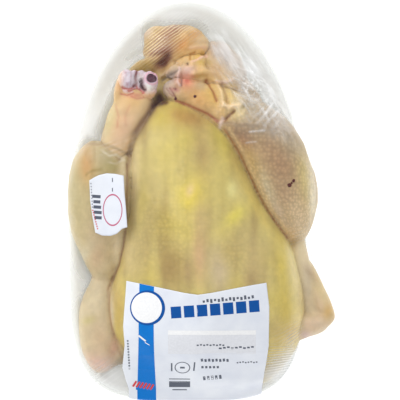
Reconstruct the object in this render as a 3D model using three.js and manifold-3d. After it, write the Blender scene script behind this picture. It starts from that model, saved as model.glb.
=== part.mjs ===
// A young chicken, plucked, drawn and raw, in its retail pack. The bird lies on its back in an egg-shaped foam
// tray, legs folded back beside the breast and wings folded under its shoulders. Clear stretch film goes over
// bird and rim and is folded under the base, and two paper labels are stuck on the film.
//
// Millimetres. +Z is up, +Y runs from the neck end to the tail, +X is to the right as seen from above with the
// tail at the top. The origin is the middle of the pack's footprint, on the surface that it stands on.

import * as THREE from "three";
import { mergeVertices } from "three/addons/utils/BufferGeometryUtils.js";
import Module from "manifold-3d";

const wasm = await Module();
wasm.setup();

// ---- Driving dimensions ----

const GAP = 0.3; // air between two pieces that touch
const FILM = 0.5; // the film's thickness as a solid
const FILM_STANDS_OFF = 1.1; // from the bird's highest points to the film's inner face

// The tray's rim is half an ellipse towards the tail and half a squarer superellipse towards the neck.
const RIM_HALF_WIDTH = 66.5;
const RIM_TO_TAIL = 122.2;
const RIM_TO_NECK = 99.8;
const TAIL_POWER = 2;
const NECK_POWER = 4;
const TRAY_MIDDLE = new THREE.Vector2(-8, -10.6); // where the rim is widest
const BASE_Z = FILM + GAP; // the film under the base carries the tray
const RIM_Z = 27;
const BASE_INSET = 17; // from the rim's outer edge to the edge of the base
const FLOOR_INSET = 20.5;
const FLOOR_Z = 4.4;

// The film is folded shut under the base but for a slot.
const SLOT_HALF_WIDTH = 8;
const SLOT_HALF_LENGTH = 38;

const LABEL = 0.4; // a label's thickness as a solid
const LABEL_LOWEST = RIM_Z - 4; // the main label goes over the rim and ends at this height
const ABOVE_ALL = 120;

// ---- Solids from three.js geometry ----

// A closed geometry as a solid, its faces turned outwards.
function solidOf(geometry) {
  const bare = geometry.clone();
  bare.deleteAttribute("normal");
  bare.deleteAttribute("uv");
  const merged = mergeVertices(bare, 1e-3);
  const vertProperties = merged.attributes.position.array;
  const triVerts = new Uint32Array(merged.index.array);
  const made = new wasm.Manifold(new wasm.Mesh({ numProp: 3, vertProperties, triVerts }));
  if (made.volume() > 0) return made;
  return new wasm.Manifold(
    new wasm.Mesh({ numProp: 3, vertProperties, triVerts: triVerts.reverse() }),
  );
}

function geometryOf(solid) {
  const { numProp, vertProperties, triVerts } = solid.getMesh();
  const positions = new Float32Array((vertProperties.length / numProp) * 3);
  for (let i = 0; i < positions.length / 3; i++) {
    positions.set(vertProperties.subarray(i * numProp, i * numProp + 3), i * 3);
  }
  const geometry = new THREE.BufferGeometry();
  geometry.setAttribute("position", new THREE.BufferAttribute(positions, 3));
  geometry.setIndex(new THREE.BufferAttribute(triVerts, 1));
  return geometry;
}

function joined(solids) {
  return solids.reduce((whole, next) => whole.add(next));
}

// Moves every vertex of a geometry to place(x, y, z).
function reshaped(geometry, place) {
  const position = geometry.attributes.position;
  for (let i = 0; i < position.count; i++) {
    const p = place(position.getX(i), position.getY(i), position.getZ(i));
    position.setXYZ(i, p.x, p.y, p.z);
  }
  return geometry;
}

// ---- The tray ----

const AROUND = 48; // steps round the tray and the film

// The rim's outline at turn t, drawn in by inset along its normal.
function rimPoint(t, inset = 0) {
  const reach = Math.sin(t) > 0 ? RIM_TO_TAIL : RIM_TO_NECK;
  const power = Math.sin(t) > 0 ? TAIL_POWER : NECK_POWER;
  const [c, s] = [RIM_HALF_WIDTH * Math.cos(t), reach * Math.sin(t)];
  const stretch = Math.hypot(c, s);
  const [ux, uy] = [c / stretch, s / stretch];
  const terms = Math.abs(ux / RIM_HALF_WIDTH) ** power + Math.abs(uy / reach) ** power;
  const r = terms ** (-1 / power);
  const normal = new THREE.Vector2(
    (Math.sign(ux) * Math.abs((r * ux) / RIM_HALF_WIDTH) ** (power - 1)) / RIM_HALF_WIDTH,
    (Math.sign(uy) * Math.abs((r * uy) / reach) ** (power - 1)) / reach,
  ).normalize();
  return new THREE.Vector2(r * ux, r * uy).addScaledVector(normal, -inset).add(TRAY_MIDDLE);
}

// The tray's section as [inset from the rim's outer edge, height], from under the middle round to the floor.
const TRAY_SECTION = [
  [BASE_INSET, BASE_Z],
  [BASE_INSET - 2.2, BASE_Z + 1.6],
  [4.6, RIM_Z - 6],
  [0.8, RIM_Z - 4.6],
  [0, RIM_Z - 3],
  [0.4, RIM_Z - 1],
  [2.2, RIM_Z],
  [5.2, RIM_Z - 0.6],
  [7.2, RIM_Z - 3.4],
  [FLOOR_INSET - 3, FLOOR_Z + 2.6],
  [FLOOR_INSET, FLOOR_Z],
];

const INNER_FROM = 5; // the section's first point on its inner side

// What the bird can't sink into: the tray's inner side, and all that lies outside it below the rim.
const BED_SECTION = [[-40, -10], [-40, RIM_Z - 1], ...TRAY_SECTION.slice(INNER_FROM)];

// A section as a lathe's ring stretched onto the rim's outline, every wall thicker by grow.
function trayGeometry(section, grow = 0) {
  const ring = section.map(([inset, z], k) => {
    const [a, b] = [section[Math.max(k - 1, 0)], section[Math.min(k + 1, section.length - 1)]];
    const out = new THREE.Vector2(b[1] - a[1], b[0] - a[0]).normalize().multiplyScalar(grow);
    return new THREE.Vector2(RIM_HALF_WIDTH - inset + out.x, z + out.y);
  });
  const profile = [new THREE.Vector2(0, ring[0].y), ...ring, new THREE.Vector2(0, ring.at(-1).y)];
  return reshaped(new THREE.LatheGeometry(profile, AROUND), (x, y, z) => {
    const radius = Math.hypot(x, z);
    if (radius < 1e-6) return new THREE.Vector3(TRAY_MIDDLE.x, TRAY_MIDDLE.y, y);
    const p = rimPoint(Math.atan2(z, x), RIM_HALF_WIDTH - radius);
    return new THREE.Vector3(p.x, p.y, y);
  });
}

// ---- The bird ----

// The breastbone's edge under the skin, as shares of the breast's height: a low ridge along the top, and beside
// it the two shallow hollows of a lean young bird.
const KEEL_RISE = 0.045;
const KEEL_WIDTH = 0.2; // in radians round the breast's section
const KEEL_HOLLOW = 0.03;
const HOLLOW_FROM_KEEL = 0.55;
const HOLLOW_WIDTH = 0.25;

function keelAt(angle) {
  const ridge = KEEL_RISE * Math.exp(-((angle / KEEL_WIDTH) ** 2));
  const hollow = KEEL_HOLLOW * Math.exp(-(((angle - HOLLOW_FROM_KEEL) / HOLLOW_WIDTH) ** 2));
  return 1 + ridge - hollow;
}

// One limb or lobe: a sphere drawn out along a smooth spine. Each station is [x, y, z, half width, half height],
// blunt says how square the two ends are, from 2 for round upwards, and relief scales the section by the angle
// from its top.
function limb(stations, { sides = 16, rings = 12, blunt = 2.6, relief = () => 1 } = {}) {
  const spine = new THREE.CatmullRomCurve3(stations.map(([x, y, z]) => new THREE.Vector3(x, y, z)));
  const girth = new THREE.CatmullRomCurve3(stations.map(([, , , w, h]) => new THREE.Vector3(w, h, 0)));
  const up = new THREE.Vector3(0, 0, 1);
  return solidOf(
    reshaped(new THREE.SphereGeometry(1, sides, rings), (x, y, z) => {
      const along = THREE.MathUtils.clamp((1 - y) / 2, 0, 1);
      const end = Math.max(0, 1 - Math.abs(y) ** blunt) ** (1 / blunt);
      const round = Math.hypot(x, z) || 1;
      const tangent = spine.getTangent(along);
      const side = new THREE.Vector3().crossVectors(tangent, up).normalize();
      const top = new THREE.Vector3().crossVectors(side, tangent);
      const half = girth.getPoint(along);
      const reach = (end * relief(Math.acos(THREE.MathUtils.clamp(z / round, -1, 1)))) / round;
      return spine
        .getPoint(along)
        .addScaledVector(side, half.x * reach * x)
        .addScaledVector(top, half.y * reach * z);
    }),
  );
}

// The trunk: the drawn carcass low in the tray, and the breast on it with its keel end towards the tail.
function trunk() {
  const carcass = limb(
    [
      [-17, 74, 21, 12, 10],
      [-16, 61, 22, 24, 16],
      [-12, 39, 23, 37, 19],
      [-6, 0, 24, 46, 20],
      [0, -44, 24, 49, 20],
      [2, -82, 22, 41, 17],
      [2, -97, 19, 27, 13],
    ],
    { sides: 20, rings: 12, blunt: 4 },
  );
  const breast = limb(
    [
      [-14, 56, 45, 17, 13],
      [-11, 36, 42, 28.7, 23],
      [-6, 11, 39, 33.5, 31],
      [-2, -13, 36.5, 41, 34.5],
      [2.5, -41, 35, 51, 35],
      [3.2, -66, 33, 54, 32],
      [2.5, -87, 27, 48, 23],
      [1, -100, 22, 38, 16],
    ],
    { sides: 32, rings: 20, blunt: 4, relief: keelAt },
  );
  return [carcass, breast];
}

// A leg: the drumstick from its cut hock back to the knee, lying over the thigh.
function rightLeg() {
  const drumstick = limb(
    [
      [-21, 62, 45, 8, 8],
      [-8, 58.5, 47, 9.5, 9],
      [11.5, 50, 47, 12.5, 11],
      [27, 40, 45, 16, 15],
      [39, 25, 42, 18.5, 18],
      [46, 5.5, 38.5, 17.5, 18],
      [50, -10, 35, 13.5, 15],
      [53, -23, 31, 9.5, 11],
    ],
    { sides: 18, rings: 18, blunt: 3 },
  );
  const thigh = limb(
    [
      [38, 36, 30, 12, 12],
      [50, 14, 31, 13, 14],
      [52, -8, 29, 11, 13],
      [42, -28, 24, 10, 12],
    ],
    { sides: 12, rings: 8 },
  );
  return [drumstick, thigh];
}

// The left leg's shank has drawn back out of the thigh's loose skin, which ends in a step round it.
function leftLeg() {
  const shank = limb(
    [
      [-34.5, 62.5, 44.5, 9.5, 7.5],
      [-36.5, 54, 45.5, 10.5, 9.3],
      [-41.3, 44, 43.5, 10.6, 10],
      [-46, 33, 40.5, 9.6, 10],
      [-50, 18, 38, 9, 11],
    ],
    { sides: 16, rings: 12 },
  );
  // Its skin ends in a thin lip round the bare joint, and webs of skin join shank and thigh to the breast.
  const skin = [
    [[-44.3, 68, 45, 2.2, 4], [-45, 60, 46, 3, 5], [-46, 52, 44.5, 3, 6]],
    [[-28, 57, 39, 5, 7], [-33, 45, 39, 6, 9], [-39, 26, 37, 6, 10]],
    [[-42, 26, 37, 5, 10], [-42.5, 8, 38, 5, 10], [-43.5, -13, 37, 5, 9.5], [-47, -36, 32, 5, 8]],
  ].map((stations) => limb(stations, { sides: 8, rings: 6 }));
  const overThigh = limb(
    [
      [-51.5, 31.5, 37.5, 12.5, 12],
      [-56, 17, 36.5, 15.6, 16],
      [-57, 3, 35.5, 16, 17],
      [-57, -13.5, 33, 15.2, 16],
      [-54.5, -31.5, 30, 10.5, 13],
      [-52, -48, 27, 6, 9],
    ],
    { sides: 18, rings: 15, blunt: 5 },
  );
  const underThigh = limb(
    [
      [-59, 24, 31, 8, 9],
      [-58, 8, 29, 13.5, 14],
      [-48, -14, 25, 15, 14],
      [-36, -36, 22, 12, 12],
    ],
    { sides: 12, rings: 8, blunt: 5 },
  );
  return [shank, overThigh, underThigh, ...skin];
}

// The left hock's bare joint: two knuckles with a saddle between them.
function knuckles() {
  return [
    [[-41.5, 71.5, 48, 3.5, 4], [-40.4, 65, 48.5, 5.3, 6], [-39.5, 57.5, 47.5, 5, 5]],
    [[-28, 71, 49, 3.5, 4], [-28, 63.5, 49.5, 5.4, 6.3], [-29, 56.5, 48, 5, 5]],
    [[-42, 63.5, 47, 6, 4.5], [-34, 63.5, 47.5, 7.5, 5], [-26, 63, 47.5, 6, 4.5]],
  ].map((stations) => limb(stations, { sides: 12, rings: 8, blunt: 2 }));
}

// The wings, folded: from shoulder to elbow along the side, the forearm back towards the tail, and the right
// wing's stub of a hand. A web of skin fills each wing's bend and goes on to the thigh.
function wings() {
  const bones = [
    [[32, -70, 38, 9, 10], [50, -69, 33, 9, 9], [64, -67, 31, 5.5, 6.5], [72.5, -66, 30, 4, 5.5]],
    [[72.5, -67, 30, 4.6, 6], [67, -57, 30.5, 5.2, 7], [62, -46, 30.5, 4.8, 7], [58, -32, 29, 3.5, 5]],
    [[70, -67.5, 28, 4, 5], [62, -70.5, 28, 4, 5], [54, -73.5, 27, 3, 4]],
    [[-28, -68, 33, 9, 10], [-42, -79, 29, 10, 9], [-52, -86, 27.5, 8, 8]],
    [[-55.5, -43, 27, 6.5, 7], [-57.5, -56, 28, 9, 9], [-58.2, -70, 28, 9.4, 10], [-56.5, -80, 28, 9.8, 10],
      [-53.5, -87, 27.5, 9.8, 9], [-50, -93, 26, 9.5, 8]],
  ].map((stations) => limb(stations, { sides: 12, rings: 9, blunt: 3 }));
  const webs = [
    [[54, -18, 32, 5, 7], [54.5, -34, 33, 6, 7], [57, -48, 31, 7.5, 7], [60, -60, 29, 8.5, 6],
      [58, -70, 28, 7, 5]],
    [[-51.5, -28, 27, 6, 8], [-53, -43, 28, 8, 9], [-54, -56, 28.5, 9, 10], [-52.5, -70, 28.5, 9, 10],
      [-49, -84, 28, 8, 9]],
  ].map((stations) => limb(stations, { sides: 10, rings: 8 }));
  return [...bones, ...webs];
}

// The tail lobe over its root, the strip of skin from it to the left hock, and the loose skin gathered between
// it and the right hock.
function tailEnd() {
  const root = limb(
    [[-16, 60, 26, 15, 11], [-15, 74, 28, 14, 10], [-14, 86, 30, 12, 8]],
    { sides: 12, rings: 8 },
  );
  const lobe = limb([
    [-31.5, 79, 30, 8, 6],
    [-20.5, 84.5, 32, 11, 9],
    [-8, 86.5, 32, 11, 9],
    [4.5, 85.5, 31, 8, 6],
  ]);
  const folds = [
    [[-40, 71, 33, 2.4, 3], [-31, 74, 35, 4, 4], [-21, 78, 34, 4.5, 5]],
    [[-14, 76, 34, 4, 5], [-4, 75, 38, 5, 5], [6, 76, 35, 4, 4]],
    [[-20, 68, 40, 3.5, 4], [-12, 71, 42, 4, 5], [-2, 69, 43, 5.5, 5], [10, 66, 42, 5, 5], [22, 57, 36, 4, 5]],
    [[4, 74, 36, 5, 5], [17, 67, 37, 6, 6], [27, 55, 35, 6, 6], [33, 44, 34, 4, 5]],
    [[3, 86, 30, 5, 4], [11, 81.5, 31, 6, 5], [18, 72, 33, 6.5, 5.5], [22, 62, 35, 6, 5]],
  ].map((stations) => limb(stations, { sides: 10, rings: 8 }));
  return [root, lobe, ...folds];
}

function bird(bed) {
  const whole = joined([...trunk(), ...rightLeg(), ...leftLeg(), ...knuckles(), ...wings(), ...tailEnd()]);
  const vent = limb(
    [[-24, 74, 31, 4, 5], [-20, 76, 37, 5, 5], [-17, 79, 43, 4, 5]],
    { sides: 12, rings: 8 },
  );
  return whole.subtract(vent).subtract(bed);
}

// ---- The film ----

// Every point of the film is seen from here.
const FILM_CORE = new THREE.Vector3(TRAY_MIDDLE.x + 4, TRAY_MIDDLE.y + 6, 18);

// The film's mesh is rows of points round the pack. The first ones are fixed, as [inset from the rim's outer
// edge, height]: two under the base and three round the rim. The others are free and go up to the top.
const FIXED_ROWS = [
  [BASE_INSET + 22, FILM],
  [BASE_INSET - 1.6, FILM],
  [-0.3, RIM_Z - 5],
  [-0.6, RIM_Z - 3],
  [0.2, RIM_Z + 0.4],
];
const BASE_ROWS = 2;
const FREE_ROWS = 15;
const ROW_CROWDING = 1.15; // over 1 the free rows crowd towards the rim
const SMALLEST_REACH = 60; // from the core, before the film is drawn tight
const TIGHTEN_ROUNDS = 260;

// For each row and step round the pack, the direction from the core and how far out the film must at least be.
function filmReach(obstacles) {
  const caster = new THREE.Raycaster();
  const far = 400;
  const hit = (direction) => {
    caster.set(FILM_CORE.clone().addScaledVector(direction, far), direction.clone().negate());
    const [first] = caster.intersectObjects(obstacles, false);
    return first ? Math.max(0, far - first.distance) : 0;
  };
  const rows = [];
  const turn = (j) => (2 * Math.PI * j) / AROUND;
  for (const [inset, z] of FIXED_ROWS) {
    rows.push(
      Array.from({ length: AROUND }, (_, j) => {
        const p = rimPoint(turn(j), inset);
        const spoke = new THREE.Vector3(p.x, p.y, z).sub(FILM_CORE);
        return { direction: spoke.clone().normalize(), least: spoke.length() };
      }),
    );
  }
  const rim = rows.at(-1).map(({ direction }) => direction);
  const top = new THREE.Vector3(0, 0, 1);
  for (let k = 1; k < FREE_ROWS; k++) {
    rows.push(
      rim.map((from) => ({
        direction: from.clone().lerp(top, (k / FREE_ROWS) ** ROW_CROWDING).normalize(),
        least: 0,
      })),
    );
  }
  // Rays also go to the corners of each cell, so that the flat faces between vertices clear the bird as well.
  rows.forEach((row, k) => {
    row.forEach((spoke, j) => {
      if (k < BASE_ROWS) return;
      const around = [spoke];
      for (const dk of [-1, 1]) {
        for (const dj of [-1, 0, 1]) {
          const other = rows[k + dk]?.[(j + dj + AROUND) % AROUND];
          if (other) around.push(other);
        }
      }
      around.push(row[(j + 1) % AROUND], row[(j - 1 + AROUND) % AROUND]);
      const reach = around.map(({ direction }) => {
        const half = spoke.direction.clone().lerp(direction, 0.5).normalize();
        return Math.max(hit(half), spoke === direction ? hit(direction) : 0);
      });
      spoke.least = Math.max(spoke.least, ...reach.map((r) => (r > 0 ? r + FILM_STANDS_OFF : 0)));
    });
  });
  return rows;
}

// Draws the film tight: each free point moves to the middle of its neighbours, but never in past its least
// reach.
function tighten(rows) {
  let reach = rows.map((row) => row.map((spoke) => Math.max(spoke.least, SMALLEST_REACH)));
  const point = (k, j) => rows[k][j].direction.clone().multiplyScalar(reach[k][j]);
  for (let round = 0; round < TIGHTEN_ROUNDS; round++) {
    const last = rows.length - 1;
    const crown = rows[last].reduce((sum, _, j) => sum.add(point(last, j)), new THREE.Vector3());
    crown.divideScalar(AROUND);
    reach = rows.map((row, k) =>
      row.map((spoke, j) => {
        if (k < BASE_ROWS) return spoke.least;
        const sum = point(k - 1, j)
          .add(k < last ? point(k + 1, j) : crown)
          .add(point(k, (j + 1) % AROUND))
          .add(point(k, (j - 1 + AROUND) % AROUND));
        return Math.max(spoke.least, sum.divideScalar(4).dot(spoke.direction));
      }),
    );
  }
  return reach;
}

// The closed surface that lies out by that much from the film's inner face.
function wrap(rows, reach, out) {
  const sphere = new THREE.SphereGeometry(1, AROUND, rows.length + 1);
  const position = sphere.attributes.position;
  const last = rows.length - 1;
  for (let ring = 0; ring <= rows.length + 1; ring++) {
    const k = rows.length - ring;
    for (let step = 0; step <= AROUND; step++) {
      const j = step % AROUND;
      const p = new THREE.Vector3();
      if (k > last) {
        const mean = reach[last].reduce((sum, r) => sum + r, 0) / AROUND;
        p.set(0, 0, mean + out);
      } else if (k >= 0) {
        p.copy(rows[k][j].direction).multiplyScalar(reach[k][j] + out);
      }
      p.add(FILM_CORE);
      if (k < BASE_ROWS) p.z = FILM - out;
      position.setXYZ(ring * (AROUND + 1) + step, p.x, p.y, p.z);
    }
  }
  return solidOf(sphere);
}

// A plan outline as an upright prism from z0 to z1.
function prism(shape, z0, z1) {
  return solidOf(new THREE.ExtrudeGeometry(shape, { depth: z1 - z0, bevelEnabled: false }).translate(0, 0, z0));
}

// ---- The labels ----

// Each label in plan, as it lies on the film. The main one is 80 mm wide, its top edge dips over the breast's
// middle, and its other end goes over the rim, so its outline there runs on past the pack.
function mainLabelShape() {
  const shape = new THREE.Shape();
  shape.moveTo(-40.7, -45.4);
  shape.quadraticCurveTo(-10, -51, -1.7, -51.4);
  shape.lineTo(35.6, -45.6);
  shape.lineTo(37.2, -60);
  shape.lineTo(36.5, -86);
  shape.lineTo(33, -120);
  shape.lineTo(-39.5, -120);
  shape.lineTo(-43, -95);
  shape.closePath();
  return shape;
}

function smallLabelShape() {
  const shape = new THREE.Shape();
  shape.moveTo(-61.1, 11);
  shape.quadraticCurveTo(-53, 16.5, -42.2, 13.6);
  shape.lineTo(-40.2, -14.6);
  shape.quadraticCurveTo(-49, -21, -57.8, -17.6);
  shape.closePath();
  return shape;
}

// ---- The pack ----

const tray = solidOf(trayGeometry(TRAY_SECTION));
const chicken = bird(solidOf(trayGeometry(BED_SECTION, GAP)));

const obstacles = [chicken, tray].map(
  (solid) => new THREE.Mesh(geometryOf(solid), new THREE.MeshBasicMaterial({ side: THREE.DoubleSide })),
);
const rows = filmReach(obstacles);
const reach = tighten(rows);
const slot = new THREE.Shape();
slot.absellipse(TRAY_MIDDLE.x, TRAY_MIDDLE.y, SLOT_HALF_WIDTH, SLOT_HALF_LENGTH, 0, 2 * Math.PI, false, 0);
const film = wrap(rows, reach, FILM)
  .subtract(wrap(rows, reach, 0))
  .subtract(prism(slot, -FILM, FILM + GAP / 2));

function label(shape) {
  return wrap(rows, reach, FILM + GAP + LABEL)
    .subtract(wrap(rows, reach, FILM + GAP))
    .intersect(prism(shape, LABEL_LOWEST, ABOVE_ALL));
}

const mainLabel = label(mainLabelShape());
const smallLabel = label(smallLabelShape());

// The film is the outermost piece, but for the main label where it goes over the rim.
const boxes = [film, mainLabel].map((solid) => solid.boundingBox());
const least = (axis) => Math.min(...boxes.map(({ min }) => min[axis]));
const most = (axis) => Math.max(...boxes.map(({ max }) => max[axis]));
const TO_ORIGIN = [-(least(0) + most(0)) / 2, -(least(1) + most(1)) / 2, -least(2)];

const pack = new THREE.Group();

function addPiece(name, solid, material) {
  const placed = solid.translate(TO_ORIGIN);
  const mesh = new THREE.Mesh(geometryOf(placed), new THREE.MeshStandardMaterial(material));
  mesh.name = name;
  pack.add(mesh);
}

addPiece("tray", tray, { color: 0xf4f5f2, roughness: 0.75, metalness: 0 });
addPiece("chicken", chicken, { color: 0xd8bf86, roughness: 0.5, metalness: 0 });
addPiece("film", film, { color: 0xffffff, roughness: 0.1, metalness: 0, transparent: true, opacity: 0.15 });
addPiece("label_main", mainLabel, { color: 0xe8ecf2, roughness: 0.5, metalness: 0 });
addPiece("label_small", smallLabel, { color: 0xf0f0ee, roughness: 0.5, metalness: 0 });

export default pack;
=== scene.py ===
# A young chicken, plucked, drawn and raw, on its back in an egg-shaped foam tray under clear stretch film,
# with two paper labels on the film. +Z is up, +Y runs from the neck end to the tail, and the origin is under
# the pack's middle. The scene is in metres, and the sizes below are in mm.

import math

import bpy
import numpy as np
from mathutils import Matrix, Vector, noise
from mathutils.bvhtree import BVHTree


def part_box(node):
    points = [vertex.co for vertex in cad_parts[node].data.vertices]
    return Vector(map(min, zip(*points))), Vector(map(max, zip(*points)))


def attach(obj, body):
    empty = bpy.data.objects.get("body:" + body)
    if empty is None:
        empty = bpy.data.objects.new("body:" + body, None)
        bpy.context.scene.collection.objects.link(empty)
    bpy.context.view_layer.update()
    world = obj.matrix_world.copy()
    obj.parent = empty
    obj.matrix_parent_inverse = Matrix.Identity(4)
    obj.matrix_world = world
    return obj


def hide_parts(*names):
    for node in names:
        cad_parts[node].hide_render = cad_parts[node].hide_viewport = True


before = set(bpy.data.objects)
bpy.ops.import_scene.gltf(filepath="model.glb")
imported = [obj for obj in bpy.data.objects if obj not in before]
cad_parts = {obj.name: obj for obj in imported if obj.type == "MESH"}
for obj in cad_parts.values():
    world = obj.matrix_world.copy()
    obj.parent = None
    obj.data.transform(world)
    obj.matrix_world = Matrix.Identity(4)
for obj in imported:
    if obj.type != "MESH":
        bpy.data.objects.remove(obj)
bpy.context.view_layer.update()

# ---- Foam tray ----
# A pressed tray of white expanded polystyrene foam with a rolled rim. Its plan is half an ellipse towards the
# tail and half a squarer curve towards the neck. Its beads show as a fine pebbling. It stands on the film.

MM = 0.001
TRAY_AROUND = 144
FLOOR_RINGS = 4  # rings of faces that part the tray's floor
RIM_HALF_WIDTH, RIM_TO_TAIL, RIM_TO_NECK = 66.5, 122.2, 99.8
TAIL_POWER, NECK_POWER = 2.0, 4.0
RIM_Z = 27.0
tray_low, tray_high = (np.array(corner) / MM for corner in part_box("tray"))
tray_middle = np.array([(tray_low[0] + tray_high[0]) / 2, tray_high[1] - RIM_TO_TAIL])

# The section as (inset from the rim's outer edge, height), from under the middle round to the floor.
TRAY_SECTION = [
    (17, 0.8), (15.4, 1.5), (14.6, 2.6), (4.9, 20.6), (3.2, 21.6), (1.1, 22.2), (0.25, 23.0), (0.0, 24.2),
    (0.3, 25.8), (1.2, 26.7), (2.5, 27.0), (4.4, 26.8), (5.8, 25.9), (7.0, 24.0), (16.8, 7.8), (18.2, 5.4),
    (20.6, 4.4),
]
INNER_FROM = 10  # the section's points from here on are the tray's inner side


def rim_edge(turn):
    """Points of the rim's outer edge, from the tray's middle, and which way is outward there."""
    reach = np.where(np.sin(turn) > 0, RIM_TO_TAIL, RIM_TO_NECK)
    power = np.where(np.sin(turn) > 0, TAIL_POWER, NECK_POWER)
    c, s = RIM_HALF_WIDTH * np.cos(turn), reach * np.sin(turn)
    stretch = np.hypot(c, s)
    ux, uy = c / stretch, s / stretch
    r = (np.abs(ux / RIM_HALF_WIDTH) ** power + np.abs(uy / reach) ** power) ** (-1 / power)
    nx = np.sign(ux) * np.abs(r * ux / RIM_HALF_WIDTH) ** (power - 1) / RIM_HALF_WIDTH
    ny = np.sign(uy) * np.abs(r * uy / reach) ** (power - 1) / reach
    size = np.hypot(nx, ny)
    return r * ux, r * uy, nx / size, ny / size


def rim_point(turn, inset):
    """Plan points that lie this far in from the rim's outer edge."""
    x, y, nx, ny = rim_edge(turn)
    return x - nx * inset + tray_middle[0], y - ny * inset + tray_middle[1]


def values_of(items, name, width=3, kind=float):
    """One value of each of a mesh's vertices, edges or faces, as an array of that width."""
    flat = np.empty(len(items) * width, kind)
    items.foreach_get(name, flat)
    return flat.reshape(-1, width)


def coords(obj):
    """An object's vertices as an array in mm."""
    return values_of(obj.data.vertices, "co") / MM


def place(obj, points):
    """Moves an object's vertices to the points, in mm."""
    obj.data.vertices.foreach_set("co", (points * MM).ravel())
    obj.data.update()


def alone(obj):
    """Selects one object only and makes it the active one."""
    bpy.ops.object.select_all(action="DESELECT")
    obj.select_set(True)
    bpy.context.view_layer.objects.active = obj


def outward(obj):
    """Turns every face of a closed piece outwards."""
    alone(obj)
    bpy.ops.object.mode_set(mode="EDIT")
    bpy.ops.mesh.select_all(action="SELECT")
    bpy.ops.mesh.normals_make_consistent(inside=False)
    bpy.ops.object.mode_set(mode="OBJECT")


def apply(obj, kind, **settings):
    """Adds a modifier with these settings and applies it."""
    alone(obj)
    modifier = obj.modifiers.new(kind.title(), kind)
    for name, value in settings.items():
        setattr(modifier, name, value)
    bpy.ops.object.modifier_apply(modifier=modifier.name)


def new_material(name):
    """A material with its nodes, its links and its shader."""
    material = bpy.data.materials.new(name)
    material.use_nodes = True
    nodes = material.node_tree.nodes
    return material, nodes, material.node_tree.links, nodes["Principled BSDF"]


def linear(r, g, b):
    """A colour given in the 0 to 255 of a screen, as light."""
    return tuple(((v / 255 + 0.055) / 1.055) ** 2.4 if v > 10 else v / 3294.6 for v in (r, g, b))


def dial(node, settings):
    """Sets a node's inputs."""
    for socket, value in settings.items():
        node.inputs[socket].default_value = value


def pattern(kind, settings):
    """A pattern node that is laid on the piece by each point's own place."""
    node = nodes.new(f"ShaderNodeTex{kind}")
    dial(node, settings)
    links.new(nodes.new("ShaderNodeTexCoord").outputs["Object"], node.inputs["Vector"])
    return node


def ranged(value, low, high, start=0.0, end=1.0):
    """A node that spreads a value from its own range over another."""
    node = nodes.new("ShaderNodeMapRange")
    dial(node, {"From Min": start, "From Max": end, "To Min": low, "To Max": high})
    links.new(value, node.inputs["Value"])
    return node.outputs["Result"]


def emboss(height, strength, depth, invert=False):
    """Gives the shader a fine relief by a value, this many metres deep."""
    node = nodes.new("ShaderNodeBump")
    node.invert = invert
    dial(node, {"Strength": strength, "Distance": depth})
    links.new(height, node.inputs["Height"])
    links.new(node.outputs["Normal"], shader.inputs["Normal"])


bpy.ops.object.select_all(action="DESELECT")
floor_radius = RIM_HALF_WIDTH - TRAY_SECTION[0][0]
bpy.ops.mesh.primitive_circle_add(vertices=TRAY_AROUND, radius=floor_radius, fill_type="NGON")
tray = bpy.context.object
tray.name = tray.data.name = "foam_tray"
bpy.ops.object.mode_set(mode="EDIT")
bpy.ops.mesh.select_all(action="SELECT")
bpy.ops.transform.translate(value=(0, 0, TRAY_SECTION[0][1]))
for (inset, z), (next_inset, next_z) in zip(TRAY_SECTION, TRAY_SECTION[1:]):
    scale = (RIM_HALF_WIDTH - next_inset) / (RIM_HALF_WIDTH - inset)
    bpy.ops.mesh.extrude_region_move(TRANSFORM_OT_translate={"value": (0, 0, next_z - z)})
    bpy.ops.transform.resize(value=(scale, scale, 1))
for _ in range(FLOOR_RINGS):
    bpy.ops.mesh.inset(thickness=(RIM_HALF_WIDTH - TRAY_SECTION[-1][0]) / (FLOOR_RINGS + 1))
bpy.ops.mesh.poke()
bpy.ops.object.mode_set(mode="OBJECT")
ring = coords(tray) * MM
turn, radius = np.arctan2(ring[:, 1], ring[:, 0]), np.hypot(ring[:, 0], ring[:, 1])
x, y = rim_point(turn, RIM_HALF_WIDTH - radius)
middle = radius < 0.5
x[middle], y[middle] = tray_middle
place(tray, np.column_stack([x, y, ring[:, 2]]))
outward(tray)
apply(tray, "SUBSURF", levels=1, render_levels=1)
bpy.ops.object.shade_smooth()

foam, nodes, links, shader = new_material("white_foam")
dial(shader, {
    "Base Color": (*linear(226, 228, 224), 1),
    # Painted glow: a faint emission stands in for light coming through the thin foam and lifts the shade
    # inside the tray.
    "Emission Color": (0.98, 1, 0.98, 1),  # painted glow for light coming through the thin foam
    "Emission Strength": 0.12,
    "Subsurface Weight": 0.5,
    "Subsurface Radius": (0.008, 0.008, 0.008),
    "Subsurface Scale": 1.0,
})
beads = pattern("Voronoi", {"Scale": 520})
beads.feature = "SMOOTH_F1"
links.new(ranged(beads.outputs["Distance"], 0.5, 0.72), shader.inputs["Roughness"])
emboss(beads.outputs["Distance"], 0.25, 0.0004, invert=True)
tray.data.materials.append(foam)
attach(tray, "root")
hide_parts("tray")

# ---- Bird ----
# The whole bird is one body of meat and bone in loose, moist skin: trunk and breast, legs folded back beside
# them, wings folded under the shoulders, the tail lobe over the vent and the skin gathered at the right hock.

SKIN_GRAIN = 1.13  # between the vertices of the finished skin, and half of it where the skin is gathered
LIMB_AROUND, LIMB_ALONG = 96, 72
DRAWN_MIDDLE = np.array([-8.0, -10.6])  # the tray's middle in the plan that the limbs are drawn in
offset = tray_middle - DRAWN_MIDDLE
TRAY_GAP = 0.3

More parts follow.
